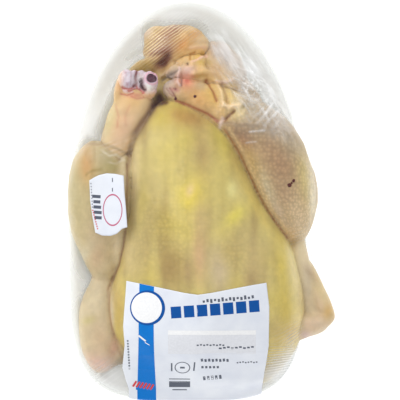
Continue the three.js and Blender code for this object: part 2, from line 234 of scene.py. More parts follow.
# Every limb is a list of stations along its spine: x, y, z, half width, half height, in mm.
LIMBS = {
    "carcass": [
        [(-17, 74, 21, 12, 10), (-16, 61, 22, 24, 16), (-12, 39, 23, 37, 19), (-6, 0, 24, 46, 20),
         (0, -44, 24, 49, 20), (2, -82, 22, 41, 17), (2, -97, 19, 27, 13)],
    ],
    "breast": [
        [(-14, 56, 45, 17, 13), (-11, 36, 42, 28.7, 23), (-6, 11, 39, 33.5, 31), (-2, -13, 36.5, 41, 34.5),
         (2.5, -41, 35, 51, 35), (3.2, -66, 33, 54, 32), (2.5, -87, 27, 48, 23), (1, -100, 22, 38, 16)],
    ],
    "right_leg": [
        [(-21, 62, 45, 8, 8), (-8, 58.5, 47, 9.5, 9), (11.5, 50, 47, 12.5, 11), (27, 40, 45, 16, 15),
         (39, 25, 42, 18.5, 18), (46, 5.5, 38.5, 17.5, 18), (50, -10, 35, 13.5, 15), (53, -23, 31, 9.5, 11)],
        [(38, 36, 30, 12, 12), (50, 14, 31, 13, 14), (52, -8, 29, 11, 13), (42, -28, 24, 10, 12)],
    ],
    "left_shank": [
        [(-34.5, 62.5, 44.5, 9.5, 7.5), (-36.5, 54, 45.5, 10.5, 9.3), (-41.3, 44, 43.5, 10.6, 10),
         (-46, 33, 40.5, 9.6, 10), (-50, 18, 38, 9, 11)],
        [(-44.3, 68, 45, 2.2, 4), (-45, 60, 46, 3, 5), (-46, 52, 44.5, 3, 6)],
        [(-28, 57, 39, 5, 7), (-33, 45, 39, 6, 9), (-39, 26, 37, 6, 10)],
    ],
    "left_thigh": [
        [(-51.5, 31.5, 37.5, 12.5, 12), (-56, 17, 36.5, 15.6, 16), (-57, 3, 35.5, 16, 17),
         (-57, -13.5, 33, 15.2, 16), (-54.5, -31.5, 30, 10.5, 13), (-52, -48, 27, 6, 9)],
        [(-59, 24, 31, 8, 9), (-58, 8, 29, 13.5, 14), (-48, -14, 25, 15, 14), (-36, -36, 22, 12, 12)],
        [(-42, 26, 37, 5, 10), (-42.5, 8, 38, 5, 10), (-43.5, -13, 37, 5, 9.5), (-47, -36, 32, 5, 8)],
    ],
    "right_wing": [
        [(32, -70, 38, 9, 10), (50, -69, 33, 9, 9), (64, -67, 31, 5.5, 6.5), (72.5, -66, 30, 4, 5.5)],
        [(72.5, -67, 30, 4.6, 6), (67, -57, 30.5, 5.2, 7), (62, -46, 30.5, 4.8, 7), (58, -32, 29, 3.5, 5)],
        [(70, -67.5, 28, 4, 5), (62, -70.5, 28, 4, 5), (54, -73.5, 27, 3, 4)],
        [(54, -18, 32, 5, 7), (54.5, -34, 33, 6, 7), (57, -48, 31, 7.5, 7), (60, -60, 29, 8.5, 6),
         (58, -70, 28, 7, 5)],
    ],
    "left_wing": [
        [(-28, -68, 33, 9, 10), (-42, -79, 29, 10, 9), (-52, -86, 27.5, 8, 8)],
        [(-55.5, -43, 27, 6.5, 7), (-57.5, -56, 28, 9, 9), (-58.2, -70, 28, 9.4, 10),
         (-56.5, -80, 28, 9.8, 10), (-53.5, -87, 27.5, 9.8, 9), (-50, -93, 26, 9.5, 8)],
        [(-51.5, -28, 27, 6, 8), (-53, -43, 28, 8, 9), (-54, -56, 28.5, 9, 10), (-52.5, -70, 28.5, 9, 10),
         (-49, -84, 28, 8, 9)],
    ],
    "tail": [
        [(-16, 60, 26, 15, 11), (-15, 74, 28, 14, 10), (-14, 86, 30, 12, 8)],
        [(-31.5, 79, 30, 8, 6), (-20.5, 84.5, 32, 11, 9), (-8, 86.5, 32, 11, 9), (4.5, 85.5, 31, 8, 6)],
        [(-40, 71, 33, 2.4, 3), (-31, 74, 35, 4, 4), (-21, 78, 34, 4.5, 5)],
        [(-29, 84, 30, 4, 5), (-25.2, 89.6, 31, 6.6, 6.5), (-15, 92, 31, 5, 6)],
    ],
    "folds": [
        [(-14, 76, 34, 4, 5), (-4, 75, 38, 5, 5), (6, 76, 35, 4, 4)],
        [(-20, 68, 40, 3.5, 4), (-12, 71, 42, 4, 5), (-2, 69, 43, 5.5, 5), (10, 66, 42, 5, 5),
         (22, 57, 36, 4, 5)],
        [(4, 76, 36, 5.5, 6), (17, 67, 37, 6, 6), (27, 55, 35, 6, 6), (33, 44, 34, 4, 5)],
        [(3, 81, 31, 6, 5), (11, 77, 33, 5, 5), (19, 69, 34, 5, 5)],
        [(3, 86, 30, 5, 4), (11, 81.5, 31, 6, 5), (18, 72, 33, 6.5, 5.5), (22, 62, 35, 6, 5)],
    ],
}
# How square a limb's ends are, where they aren't as round as most.
BLUNT = {"carcass": 4, "breast": 4, "right_leg": 3, "left_thigh": 5, "left_wing": 4}
USUAL_BLUNT = 2.6
KEEL_RISE, KEEL_WIDTH = 0.045, 0.2
KEEL_HOLLOW, HOLLOW_FROM_KEEL, HOLLOW_WIDTH = 0.03, 0.55, 0.25


def along_curve(points, share):
    """Points at these shares of a smooth curve through the given points, and the way it runs there."""
    p = np.array(points, float)
    p = np.vstack([2 * p[0] - p[1], p, 2 * p[-1] - p[-2]])
    at = np.clip(share, 0, 1) * (len(p) - 3)
    k = np.minimum(at.astype(int), len(p) - 4)
    u = (at - k)[:, None]
    a, b, c, d = p[k], p[k + 1], p[k + 2], p[k + 3]
    bend, twist = 2 * a - 5 * b + 4 * c - d, -a + 3 * b - 3 * c + d
    point = (2 * b + (c - a) * u + bend * u**2 + twist * u**3) / 2
    return point, ((c - a) + 2 * bend * u + 3 * twist * u**2) / 2


def keel_at(angle):
    """The breast's section by the angle from its top: the keel's ridge and a hollow on each side."""
    hollow = KEEL_HOLLOW * np.exp(-(((angle - HOLLOW_FROM_KEEL) / HOLLOW_WIDTH) ** 2))
    return 1 + KEEL_RISE * np.exp(-((angle / KEEL_WIDTH) ** 2)) - hollow


def limb(stations, blunt, section):
    """A sphere drawn out along the stations, as an object."""
    bpy.ops.mesh.primitive_uv_sphere_add(segments=LIMB_AROUND, ring_count=LIMB_ALONG, radius=1)
    obj = bpy.context.object
    ball = coords(obj) * MM
    along, end = (1 - ball[:, 2]) / 2, (1 - np.abs(ball[:, 2]).clip(0, 1) ** blunt) ** (1 / blunt)
    spine, tangent = along_curve([s[:3] for s in stations], along)
    girth, _ = along_curve([s[3:] for s in stations], along)
    tangent /= np.linalg.norm(tangent, axis=1)[:, None]
    side = np.cross(tangent, [0, 0, 1])
    side /= np.linalg.norm(side, axis=1)[:, None]
    top = np.cross(side, tangent)
    radius = np.hypot(ball[:, 0], ball[:, 1])
    radius[radius < 1e-6] = 1
    scale = end / radius
    if section:
        scale = scale * section(np.arccos((ball[:, 1] / radius).clip(-1, 1)))
    sideways, upwards = girth[:, 0] * scale * ball[:, 0], girth[:, 1] * scale * ball[:, 1]
    place(obj, spine + (side * sideways[:, None] + top * upwards[:, None]) + [*offset, 0])
    return obj


def joined(objects, name):
    """Joins the objects into the first one and names it."""
    bpy.ops.object.select_all(action="DESELECT")
    for obj in objects:
        obj.select_set(True)
    bpy.context.view_layer.objects.active = objects[0]
    bpy.ops.object.join()
    whole = bpy.context.object
    whole.name = whole.data.name = name
    return whole


def tree_of(objects):
    """A search tree of the objects' faces, in mm."""
    points, faces = [], []
    for obj in objects:
        faces += [[v + len(points) for v in face.vertices] for face in obj.data.polygons]
        points += [Vector(p) for p in coords(obj)]
    return BVHTree.FromPolygons(points, faces)


limb_trees = {}
parts = []
for name, lists in LIMBS.items():
    section = keel_at if name == "breast" else None
    made = [limb(stations, BLUNT.get(name, USUAL_BLUNT), section) for stations in lists]
    limb_trees[name] = tree_of(made)
    parts += made
bird = joined(parts, "chicken_skin")
apply(bird, "REMESH", mode="VOXEL", voxel_size=SKIN_GRAIN * MM, adaptivity=0)
apply(bird, "SMOOTH", factor=0.5, iterations=4)


def refine(obj, places, lowest):
    """Subdivides the faces above a height in plan boxes, each given as west, east, south and north in mm."""
    x, y, z = (values_of(obj.data.polygons, "center") / MM - [*offset, 0]).T
    fine = np.zeros(len(x), bool)
    for west, east, south, north in places:
        fine |= (x > west) & (x < east) & (y > south) & (y < north)
    fine &= z > lowest
    alone(obj)
    bpy.ops.object.mode_set(mode="EDIT")
    bpy.ops.mesh.select_mode(type="FACE")
    bpy.ops.mesh.select_all(action="DESELECT")
    bpy.ops.object.mode_set(mode="OBJECT")
    obj.data.polygons.foreach_set("select", fine)
    bpy.ops.object.mode_set(mode="EDIT")
    bpy.ops.mesh.subdivide(number_cuts=1)
    bpy.ops.mesh.select_mode(type="VERT")
    bpy.ops.object.mode_set(mode="OBJECT")


# The skin is finer where it is gathered, torn or slit, on the side that can be seen.
GATHERED = [(-45, 26, 40, 81), (-26, 6, 78, 99), (-66, -38, 20, 34)]
GATHERED_ABOVE = 30
refine(bird, GATHERED, GATHERED_ABOVE)
apply(bird, "SMOOTH", factor=0.5, iterations=1)


def bed_height(x, y):
    """The tray's inner side under a point: its floor, its wall or the top of its rim."""
    dx, dy = x - tray_middle[0], y - tray_middle[1]
    reach = np.where(dy > 0, RIM_TO_TAIL, RIM_TO_NECK)
    edge_x, edge_y, nx, ny = rim_edge(np.arctan2(dy / reach, dx / RIM_HALF_WIDTH))
    inset = (edge_x - dx) * nx + (edge_y - dy) * ny
    return np.interp(inset, *np.array(TRAY_SECTION[INNER_FROM:]).T)


skin = coords(bird) - [*offset, 0]
starts, stops = values_of(bird.data.edges, "vertices", 2, int).T
valence = np.bincount(starts, minlength=len(skin)) + np.bincount(stops, minlength=len(skin))


def blurred(values, rounds):
    """Values on the skin's vertices, each mixed with its neighbours' that many times."""
    for _ in range(rounds):
        near = np.zeros_like(values)
        for column, v in enumerate(values.T):
            near[:, column] = np.bincount(starts, v[stops], len(v)) + np.bincount(stops, v[starts], len(v))
        values = (values + near / valence[:, None]) / 2
    return values


def normals():
    """Which way is outward at each of the skin's vertices."""
    return values_of(bird.data.vertices, "normal")


def from_line(line, at):
    """How far points lie from a line in plan, and on which side: over 0 is left of the way it runs."""
    best = np.full(len(at), np.inf)
    side = np.zeros(len(at))
    for a, b in zip(np.array(line[:-1], float), np.array(line[1:], float)):
        way = b - a
        along = ((at - a) @ way / (way @ way)).clip(0, 1)
        gap = at - a - along[:, None] * way
        far = np.hypot(gap[:, 0], gap[:, 1])
        closer = far < best
        best[closer] = far[closer]
        side[closer] = np.sign(way[0] * gap[closer, 1] - way[1] * gap[closer, 0])
    return best, side


def hump(distance, width):
    """A soft hump: 1 in the middle, and nearly 0 at twice its width."""
    return np.exp(-((distance / width) ** 2))


def turned(at, x, y, turn):
    """How far points lie from x, y along and across the way that turn gives in degrees."""
    c, s = math.cos(math.radians(turn)), math.sin(math.radians(turn))
    dx, dy = at[:, 0] - x, at[:, 1] - y
    return dx * c + dy * s, dy * c - dx * s


def spot(at, x, y, radius, long=1.0, turn=0.0):
    """A soft spot in plan, stretched long times along the way that turn gives in degrees."""
    along, across = turned(at, x, y, turn)
    return hump(np.hypot(along / long, across), radius)


def mixed(colours, tone, weight):
    """Mixes a screen colour into the colours by a weight from 0 to 1 on each vertex."""
    weight = np.clip(weight, 0, 1)[:, None]
    return colours * (1 - weight) + np.array(linear(*tone)) * weight


def noise_at(points, scale, seed=0.0):
    """Smooth noise from about -1 to 1 at the points, with lumps of about that size in mm."""
    return np.array([noise.noise(Vector(p) / scale + Vector((seed, seed * 1.7, -seed))) for p in points])


# How far each vertex is from each limb's own surface gives its share of that limb, so that the colours fade
# into each other. It also gives how near the vertex is to a seam, where two limbs press together.
# The carcass and the breast, the first two limbs, have no seam between them.
COLOUR_FADE = 0.9
SEAM_WIDTH, SEAM_DEPTH = 0.9, 1.1
gaps = np.column_stack([
    [tree.find_nearest(Vector(p))[3] for p in skin + [*offset, 0]] for tree in limb_trees.values()
])
smooth_shares = np.exp(-gaps / COLOUR_FADE)
smooth_shares = blurred(smooth_shares / (smooth_shares.sum(axis=1)[:, None] + 1e-9), 2)
share = dict(zip(LIMBS, smooth_shares.T))
limb_gaps = np.column_stack([gaps[:, :2].min(axis=1), gaps[:, 2:]])
limb_gaps.sort(axis=1)
seam = hump(limb_gaps[:, 1] - limb_gaps[:, 0], SEAM_WIDTH) * (limb_gaps[:, 0] / 0.5).clip(0, 1)
seam *= 1 - 0.8 * spot(skin, 54, -25, 6)  # the right thigh's tip runs into the flank's skin without a crease
up = normals()[:, 2].clip(0, 1)
legs = share["right_leg"] + share["left_shank"] + share["left_thigh"]
plan = skin[:, :2].copy()


def pressed(lines):
    """The relief of lines in the skin, each with how far it rises or, under 0, sinks, and its width."""
    return sum(height * hump(from_line(line, plan)[0], width) * up for line, height, width in lines)


# The ridges and creases of the gathered skin, each with its height and width.
FOLDS = [
    ([(-22, 68.5), (-17, 72), (-12.5, 75.5)], 1.3, 0.9),
    ([(-21.5, 66), (-15, 69.5), (-11.5, 72.5)], -0.9, 0.8),
    ([(-20, 64.3), (-14.5, 66.6), (-12.5, 69)], 1.0, 0.8),
    ([(-11.8, 73), (-12.2, 68), (-13, 65), (-11.4, 62.8)], 1.4, 0.8),
    ([(-10.6, 67), (-10.6, 63)], -1.0, 0.8),
    ([(-17.5, 61.5), (-15.5, 58.5), (-13.8, 55.8)], -0.9, 0.7),
    ([(-5, 76), (-1, 78), (3, 79.5)], 1.2, 0.9),
    ([(-4, 69.4), (2, 70.6), (8, 70), (13, 66)], 1.6, 1.4),
    ([(-3, 67.4), (3, 67.8)], -1.0, 1.0),
    ([(3, 66), (6.8, 60), (8.6, 54.5)], -1.5, 0.9),
    ([(8, 66), (11, 59.5), (12.4, 51)], 1.5, 1.1),
    ([(11, 65), (13.8, 58), (14.6, 52.5)], -1.0, 0.8),
    ([(14, 66), (16.6, 59), (17, 52.5)], 1.4, 1.1),
    ([(8, 65.4), (13, 64.8), (17.5, 66.4)], 1.1, 0.8),
    ([(12.8, 51.8), (16, 50.6), (20.5, 51.8)], 2.0, 1.3),
    ([(18, 48.8), (15.5, 46.6), (12.8, 43.6)], -1.8, 1.0),
    ([(20, 62), (22.5, 55), (24.5, 48.5)], 1.4, 1.2),
    ([(21.5, 66), (26, 58), (29, 49)], -1.0, 1.0),
    ([(25, 66), (30, 57), (32.5, 48)], 1.2, 1.3),
    ([(-6, 77.6), (-5.9, 80.6), (-3, 81.6)], -0.8, 0.8),
    ([(-7, 83.8), (-1, 84.8), (3.4, 85.2)], 0.9, 1.0),
    ([(-10, 82), (-7, 87), (-8, 92)], 0.8, 1.3),
    ([(-4.5, 92.5), (-2, 88.5), (1.5, 88)], 0.7, 1.2),
    ([(-31, 79.3), (-26, 79.4), (-22, 80.6)], -1.2, 1.0),
    ([(-13, 98), (-12.6, 92), (-10, 87)], -0.8, 1.2),
    ([(-64, 27), (-60.5, 18), (-60.5, 9)], 0.6, 1.2),
    ([(-57.8, 30), (-57.4, 22), (-57.8, 15)], -0.5, 0.9),
    ([(-61, -39), (-57, -45), (-55, -50)], 0.5, 0.9),
    ([(-47.5, -84), (-44, -88)], -0.8, 1.4),
]
relief = pressed(FOLDS)

# The skin of the right leg was slit round the knee: it lies on top of what it has drawn back from.
KNEE_EDGE = [(11.6, 43.2), (17.1, 42.1), (24.2, 42.6), (31.4, 41.5), (40.7, 39.9), (52, 37.5)]
distance, side = from_line(KNEE_EDGE, plan)
under = np.where(side < 0, hump(distance, 9), -0.3 * hump(distance, 2))
relief += 1.3 * under * up * share["right_leg"] * (0.3 + 0.7 * np.exp(-distance / 40))

# Slack skin: broad lumps, a faint follicle pebbling, and fine wrinkles across the right knee.
relief += 0.6 * noise_at(skin, 17) + 0.35 * noise_at(skin, 7, 3.1) * (0.4 + legs)
relief += 0.15 * noise_at(skin, 2.4, 7.7) * (0.3 + 1.3 * share["right_leg"] + share["folds"])
relief += 0.2 * np.sin(plan[:, 1] * 4.6 + plan[:, 0] * 0.4) * spot(skin, 51, -18.5, 6, 1.4) * up
relief += 1.3 * (share["folds"] + 0.5 * spot(skin, 0, 60, 14)) * noise_at(skin * [1.7, 1, 1], 5, 5.3)
relief += 0.8 * share["tail"] * noise_at(skin * [1, 1.8, 1], 8, 6.1)

# Two shallow furrows run along the breast, one each side of the keel, and the skin is drawn in at every seam.
FURROWS = [
    ([(1, 44), (0, 20), (4, -5), (8, -40)], -0.7, 4.5),
    ([(-17, 20), (-16, -10), (-15, -44)], -0.6, 5.0),
]
relief += pressed(FURROWS) - SEAM_DEPTH * seam

# The vent is a dark hollow under the tail, and a gap runs between the left shank and the breast's tip.
VENT = [(-22.5, 73.5), (-18.5, 78.5)]
GAP = [(-23.5, 57.5), (-22, 54.5)]
CREVICE = [(-23, 56), (-27.5, 49.5), (-32.4, 42.5), (-36.5, 36), (-39, 29), (-40.2, 18)]
relief += pressed([(VENT, -3.5, 2.6), (GAP, -3, 2.0), (CREVICE, -0.8, 1.5)])
relief -= 1.6 * (spot(plan, -7.3, 74.5, 1.5) + spot(plan, -14.5, 61.6, 1.4)) * up  # two pits among the folds
relief = blurred(relief[:, None], 1)[:, 0]
skin += normals() * relief[:, None]
skin = blurred(skin, 1)

placed = skin + [*offset, 0]
placed[:, 2] = np.maximum(placed[:, 2], bed_height(placed[:, 0], placed[:, 1]) + TRAY_GAP)
place(bird, placed)
outward(bird)
bpy.ops.object.shade_smooth()

# The skin's colour: yellow fat under the breast's skin, pink and brown meat through the legs' thinner skin.
LIMB_COLOURS = {
    "carcass": (204, 184, 124), "breast": (203, 185, 112), "right_leg": (186, 160, 116),
    "left_shank": (214, 186, 140), "left_thigh": (196, 178, 132), "right_wing": (212, 188, 142),
    "left_wing": (204, 186, 148), "tail": (222, 194, 134), "folds": (222, 186, 126),
}
colour = sum(share[name][:, None] * linear(*tone) for name, tone in LIMB_COLOURS.items())
breast = share["breast"] + share["carcass"]
speckle = noise_at(skin, 3.2, 2.2)
blotch = noise_at(skin, 14, 9.1)
streak = noise_at(skin * [1, 0.14, 0], 5.5, 4.1)
colour = mixed(colour, (222, 203, 126), 1.5 * breast * streak.clip(0, 0.5))
colour = mixed(colour, (166, 142, 86), 1.5 * breast * (-streak).clip(0, 0.5))
colour = mixed(colour, (208, 188, 92), 0.9 * breast * blotch.clip(0, 1))
colour = mixed(colour, (188, 168, 112), 0.9 * breast * (-blotch).clip(0, 1))

# Where the colour changes: limb, x, y, radius, stretch, turn, colour, strength. A few spots are painted light
# and shade, as marked.
COLOUR_SPOTS = [
    ("breast", -20, 46, 7, 1.3, 40, (200, 178, 66), 0.9),
    ("breast", -15, 28, 8, 2.4, 80, (200, 180, 84), 0.6),
    ("breast", -5, 45, 6, 1.9, 168, (178, 138, 76), 0.95),
    ("breast", -12, 47, 3.5, 1.4, 160, (182, 142, 70), 0.7),
    ("breast", 1, 26, 5.5, 3.0, 92, (176, 148, 92), 0.8),
    ("breast", 11, 34, 5, 2.4, 115, (202, 184, 78), 0.75),
    ("breast", 24, 18, 4, 2.8, 115, (192, 172, 92), 0.5),
    ("breast", -30, 6, 7, 4.2, 88, (184, 164, 98), 0.5),
    # Painted light: a pale band down the breast's steep left side that makes up for the shade there.
    ("breast", -37, 8, 3.2, 9, 89, (230, 210, 158), 0.85),
    ("breast", -41, -22, 3.2, 4, 96, (226, 204, 150), 0.8),
    ("breast", 10, 8, 7, 2.2, 90, (206, 188, 108), 0.5),
    ("breast", -6, 3, 6.5, 1.4, 70, (230, 208, 76), 0.95),
    ("breast", -6, 5.5, 2.2, 1.8, 75, (226, 198, 146), 0.8),
    ("breast", 17, 6, 3, 1.6, 90, (226, 216, 142), 0.9),
    ("breast", 19, -8, 4, 2.0, 45, (224, 208, 92), 0.9),
    ("breast", 24, 2, 4, 1.8, 100, (216, 200, 126), 0.6),
    ("breast", 0, -13, 4.5, 3.0, 95, (218, 192, 130), 0.7),
    ("breast", -1, -32, 3.8, 3.2, 92, (216, 176, 130), 0.8),
    ("breast", 10, -38, 7, 1.8, 92, (204, 184, 150), 0.85),
    ("breast", -7, -38, 4, 2.2, 92, (176, 150, 104), 0.85),
    ("breast", -16, -36, 7.5, 1.9, 92, (164, 134, 80), 0.85),
    ("breast", -20, -14, 7, 2.2, 90, (182, 160, 84), 0.6),
    ("breast", -34, -32, 7, 2.6, 86, (184, 162, 106), 0.7),
    ("breast", 15, -27, 5, 1.6, 80, (186, 162, 94), 0.6),
    ("breast", 29, -34, 8, 2.0, 95, (192, 168, 116), 0.7),
    ("breast", 45, -36, 4.5, 3.6, 95, (208, 186, 82), 0.9),
    ("breast", 47, -60, 5.5, 3.0, 95, (204, 180, 84), 0.9),
    ("breast", 41, -72, 4, 2.2, 90, (200, 176, 108), 0.7),
    ("breast", 52.5, -36, 4.2, 3.6, 92, (224, 210, 156), 0.9),
    ("breast", 54.5, -66, 4, 2.2, 90, (232, 212, 142), 0.95),
    ("breast", -47, -55, 3.2, 2.6, 92, (178, 154, 112), 0.9),
    ("breast", 56, -47, 4.2, 4.2, 95, (222, 202, 146), 0.95),
    ("breast", 51, -28, 3.6, 2.6, 100, (224, 208, 150), 0.9),
    ("breast", 29, -1, 2.6, 9, 118, (222, 200, 112), 0.7),
    ("breast", 27, -44, 4, 1.6, 90, (172, 144, 98), 0.7),
    ("breast", 50, -73, 5, 1.6, 60, (206, 178, 120), 0.7),
    ("breast", -45, -62, 3.8, 4.2, 92, (190, 162, 80), 0.95),
    # Painted highlight: a pale line along the breast's left edge beside the wing.
    ("breast", -49.3, -62, 1.5, 8, 93, (206, 190, 164), 0.8),
    # Painted shade: a brown patch where the breast meets the wing's tip.
    ("breast", -46, -86, 3.5, 1.6, 70, (146, 112, 82), 0.8),
    ("left_shank", -38, 54, 6, 1.2, 0, (220, 180, 116), 0.9),
    ("left_shank", -43, 40, 7, 1.7, 75, (224, 184, 144), 0.95),
    ("left_shank", -36, 57.4, 1.6, 3.4, 0, (204, 132, 108), 0.8),
    ("left_shank", -45, 62, 1.8, 2.6, 95, (216, 160, 116), 0.8),
    ("left_shank", -50.5, 44, 3.6, 3.4, 75, (206, 190, 138), 0.85),
    ("left_shank", -45, 57, 3, 1.8, 80, (206, 164, 106), 0.7),
    ("left_thigh", -62.5, 20, 4.6, 2.4, 85, (192, 144, 78), 1.0),
    ("left_thigh", -50.5, 25, 7, 1.3, 0, (176, 160, 118), 0.95),
    ("left_thigh", -48, 19, 4, 1.4, 0, (170, 156, 90), 0.8),
    ("left_thigh", -70, 4, 4, 3.8, 92, (184, 170, 124), 0.9),
    ("left_thigh", -66, -8, 6, 3.0, 92, (190, 174, 128), 0.7),
    ("left_thigh", -56, -20, 8, 1.6, 90, (208, 186, 148), 0.9),
    ("left_thigh", -57, -32, 5, 1.6, 95, (208, 178, 140), 0.85),
    # Painted highlight: pale strips down the left thigh's right edge, here and in the next two spots.
    ("left_thigh", -47, -22, 4.2, 3.6, 98, (226, 206, 166), 0.95),
    ("left_thigh", -43, 6, 2.6, 9, 90, (214, 194, 154), 0.8),
    ("left_thigh", -49, -38, 4, 1.6, 110, (222, 204, 168), 0.9),
    ("left_thigh", -64, -30, 3, 3.0, 60, (206, 194, 160), 0.7),
    ("left_thigh", -56, -46, 6, 1.4, 60, (202, 186, 148), 0.7),
    ("right_leg", 23, 34, 6, 1.5, 110, (166, 122, 90), 0.95),
    ("right_leg", 37, 31, 8, 1.5, 100, (176, 144, 108), 0.8),
    ("right_leg", 44, 19, 8, 1.7, 105, (172, 138, 104), 0.95),
    ("right_leg", 46, 4, 7, 1.4, 100, (178, 148, 114), 0.8),
    ("right_leg", 29, 19, 3.6, 3.2, 116, (190, 158, 98), 0.9),
    ("right_leg", 36.5, 6, 3.0, 3.8, 113, (202, 186, 152), 0.9),
    ("right_leg", 43.5, -9, 3.0, 3.0, 118, (204, 182, 154), 0.9),
    ("right_leg", 57, 12, 4, 4.4, 96, (202, 182, 122), 0.95),
    ("right_leg", 61, 2, 2.4, 7, 94, (216, 202, 166), 0.85),
    ("right_leg", 53, -8, 6, 1.8, 100, (216, 190, 150), 0.9),
    ("right_leg", 50, -19, 4, 1.4, 0, (212, 180, 136), 0.9),
    ("right_leg", 56, -20, 4, 1.6, 100, (220, 198, 160), 0.9),
    ("right_leg", 49, 33, 6, 1.8, 130, (176, 158, 130), 0.9),
    ("right_leg", 34, 39, 5, 2.8, 0, (160, 140, 114), 0.9),
    ("right_leg", 19, 39, 4, 1.6, 0, (156, 126, 98), 0.9),
    ("right_leg", -1, 56, 7, 1.6, 155, (210, 162, 100), 1.0),
    ("right_leg", 10, 50, 5, 1.6, 120, (208, 170, 112), 0.9),
    ("right_leg", -19, 60, 4.5, 1.3, 20, (206, 180, 156), 1.0),
    ("right_wing", 58, -48, 4.4, 4.2, 97, (206, 190, 160), 1.0),
    ("right_wing", 55, -28, 4.0, 2.8, 90, (224, 208, 172), 0.95),
    ("right_wing", 61, -67, 4.5, 1.5, 0, (224, 190, 158), 0.95),
    ("right_wing", 65, -57, 3.2, 2.0, 100, (230, 202, 168), 0.9),
    ("right_wing", 60.5, -59.5, 4, 1.8, 90, (224, 204, 166), 0.9),
    ("right_wing", 67, -68, 3.6, 1.6, 0, (214, 192, 164), 0.8),
    ("right_wing", 70, -61, 2.6, 1.8, 80, (214, 176, 112), 0.9),
    ("right_wing", 66, -50, 2.6, 2.6, 115, (218, 196, 148), 0.9),
    ("right_wing", 60, -40, 1.8, 2.6, 125, (176, 150, 118), 0.8),
    ("right_wing", 57, -74, 2.8, 1.4, 0, (206, 176, 168), 0.9),
    ("left_wing", -56, -42, 9, 1.8, 90, (212, 194, 160), 0.9),
    ("left_wing", -58, -60, 8, 1.8, 90, (206, 190, 154), 0.85),
    ("left_wing", -55, -77, 7, 1.8, 95, (214, 188, 152), 0.9),
    ("left_wing", -47.5, -80, 3, 2.6, 75, (190, 146, 118), 0.9),
    ("left_wing", -56, -90, 5, 1.8, 160, (220, 178, 152), 0.9),
    ("left_wing", -62, -66, 2.2, 2.0, 20, (196, 182, 122), 0.7),
    ("tail", -27, 84, 8, 1.6, 40, (198, 164, 104), 0.9),
    ("tail", -10, 85.5, 4.4, 1.8, 30, (208, 144, 68), 0.95),
    ("tail", -4, 90, 3.6, 1.8, 50, (200, 144, 80), 0.95),
    ("tail", 0, 87, 3.6, 1.2, 0, (228, 196, 148), 0.95),
    ("tail", -0.5, 82.4, 3, 1.6, 10, (242, 200, 136), 1.0),
    ("tail", -16, 93, 4.4, 2.4, 35, (152, 98, 80), 0.95),
    ("tail", -6, 87.6, 1.5, 2.2, 60, (230, 186, 118), 0.6),
    ("tail", -12, 89.5, 1.4, 2.4, 45, (230, 184, 112), 0.5),
    ("tail", -21, 82, 3.2, 2.6, 35, (146, 92, 80), 0.95),
    ("tail", -29, 79, 3.0, 2.0, 60, (214, 186, 146), 0.8),
    ("tail", -29.5, 93, 3.0, 1.5, 50, (196, 174, 154), 0.85),
    ("tail", -31, 74, 4, 2.4, 20, (170, 138, 58), 1.0),
    ("tail", 1, 80.6, 2.2, 2.2, 10, (210, 168, 66), 0.9),
    ("folds", 13, 80, 7, 1.8, 125, (188, 172, 158), 1.0),
    ("folds", 21, 66, 6, 1.6, 110, (186, 168, 148), 0.9),
    ("folds", 8, 84, 3, 2.0, 150, (190, 170, 150), 0.8),
    ("folds", 1, 75.6, 2.4, 2.6, 0, (204, 172, 84), 0.95),
    ("folds", -16.5, 68, 5, 1.5, 40, (170, 158, 148), 1.0),
    ("folds", -7.5, 66, 4.6, 1.3, 0, (218, 136, 110), 1.0),
    ("folds", -7.5, 65.8, 1.4, 1.0, 0, (198, 98, 78), 0.9),
    ("folds", -7, 71.5, 3.5, 1.4, 20, (214, 180, 170), 0.8),
    ("folds", 0, 68, 3.0, 1.4, 10, (188, 152, 80), 0.9),
    ("folds", 7, 70, 4.5, 1.5, 160, (202, 166, 122), 0.95),
    ("folds", 6, 60, 5, 1.8, 115, (218, 178, 96), 0.95),
    ("folds", 0, 63.5, 3.2, 1.3, 0, (186, 160, 124), 0.8),
    ("folds", 16, 57, 4.5, 2.2, 100, (218, 186, 108), 0.95),
    ("folds", 21, 49.5, 4.4, 1.5, 90, (232, 210, 156), 0.9),
    ("folds", 28, 55, 7, 1.5, 110, (184, 168, 144), 0.8),
]
# A spot on these limbs goes on over the limb that they run into.
runs_into = {"breast": "carcass", "folds": "right_leg", "right_leg": "folds", "tail": "folds"}
for name, x, y, radius, long, turn, tone, strength in COLOUR_SPOTS:
    here = share[name] + (share[runs_into[name]] if name in runs_into else 0)
    colour = mixed(colour, tone, strength * here * spot(skin, x, y, radius, long, turn))
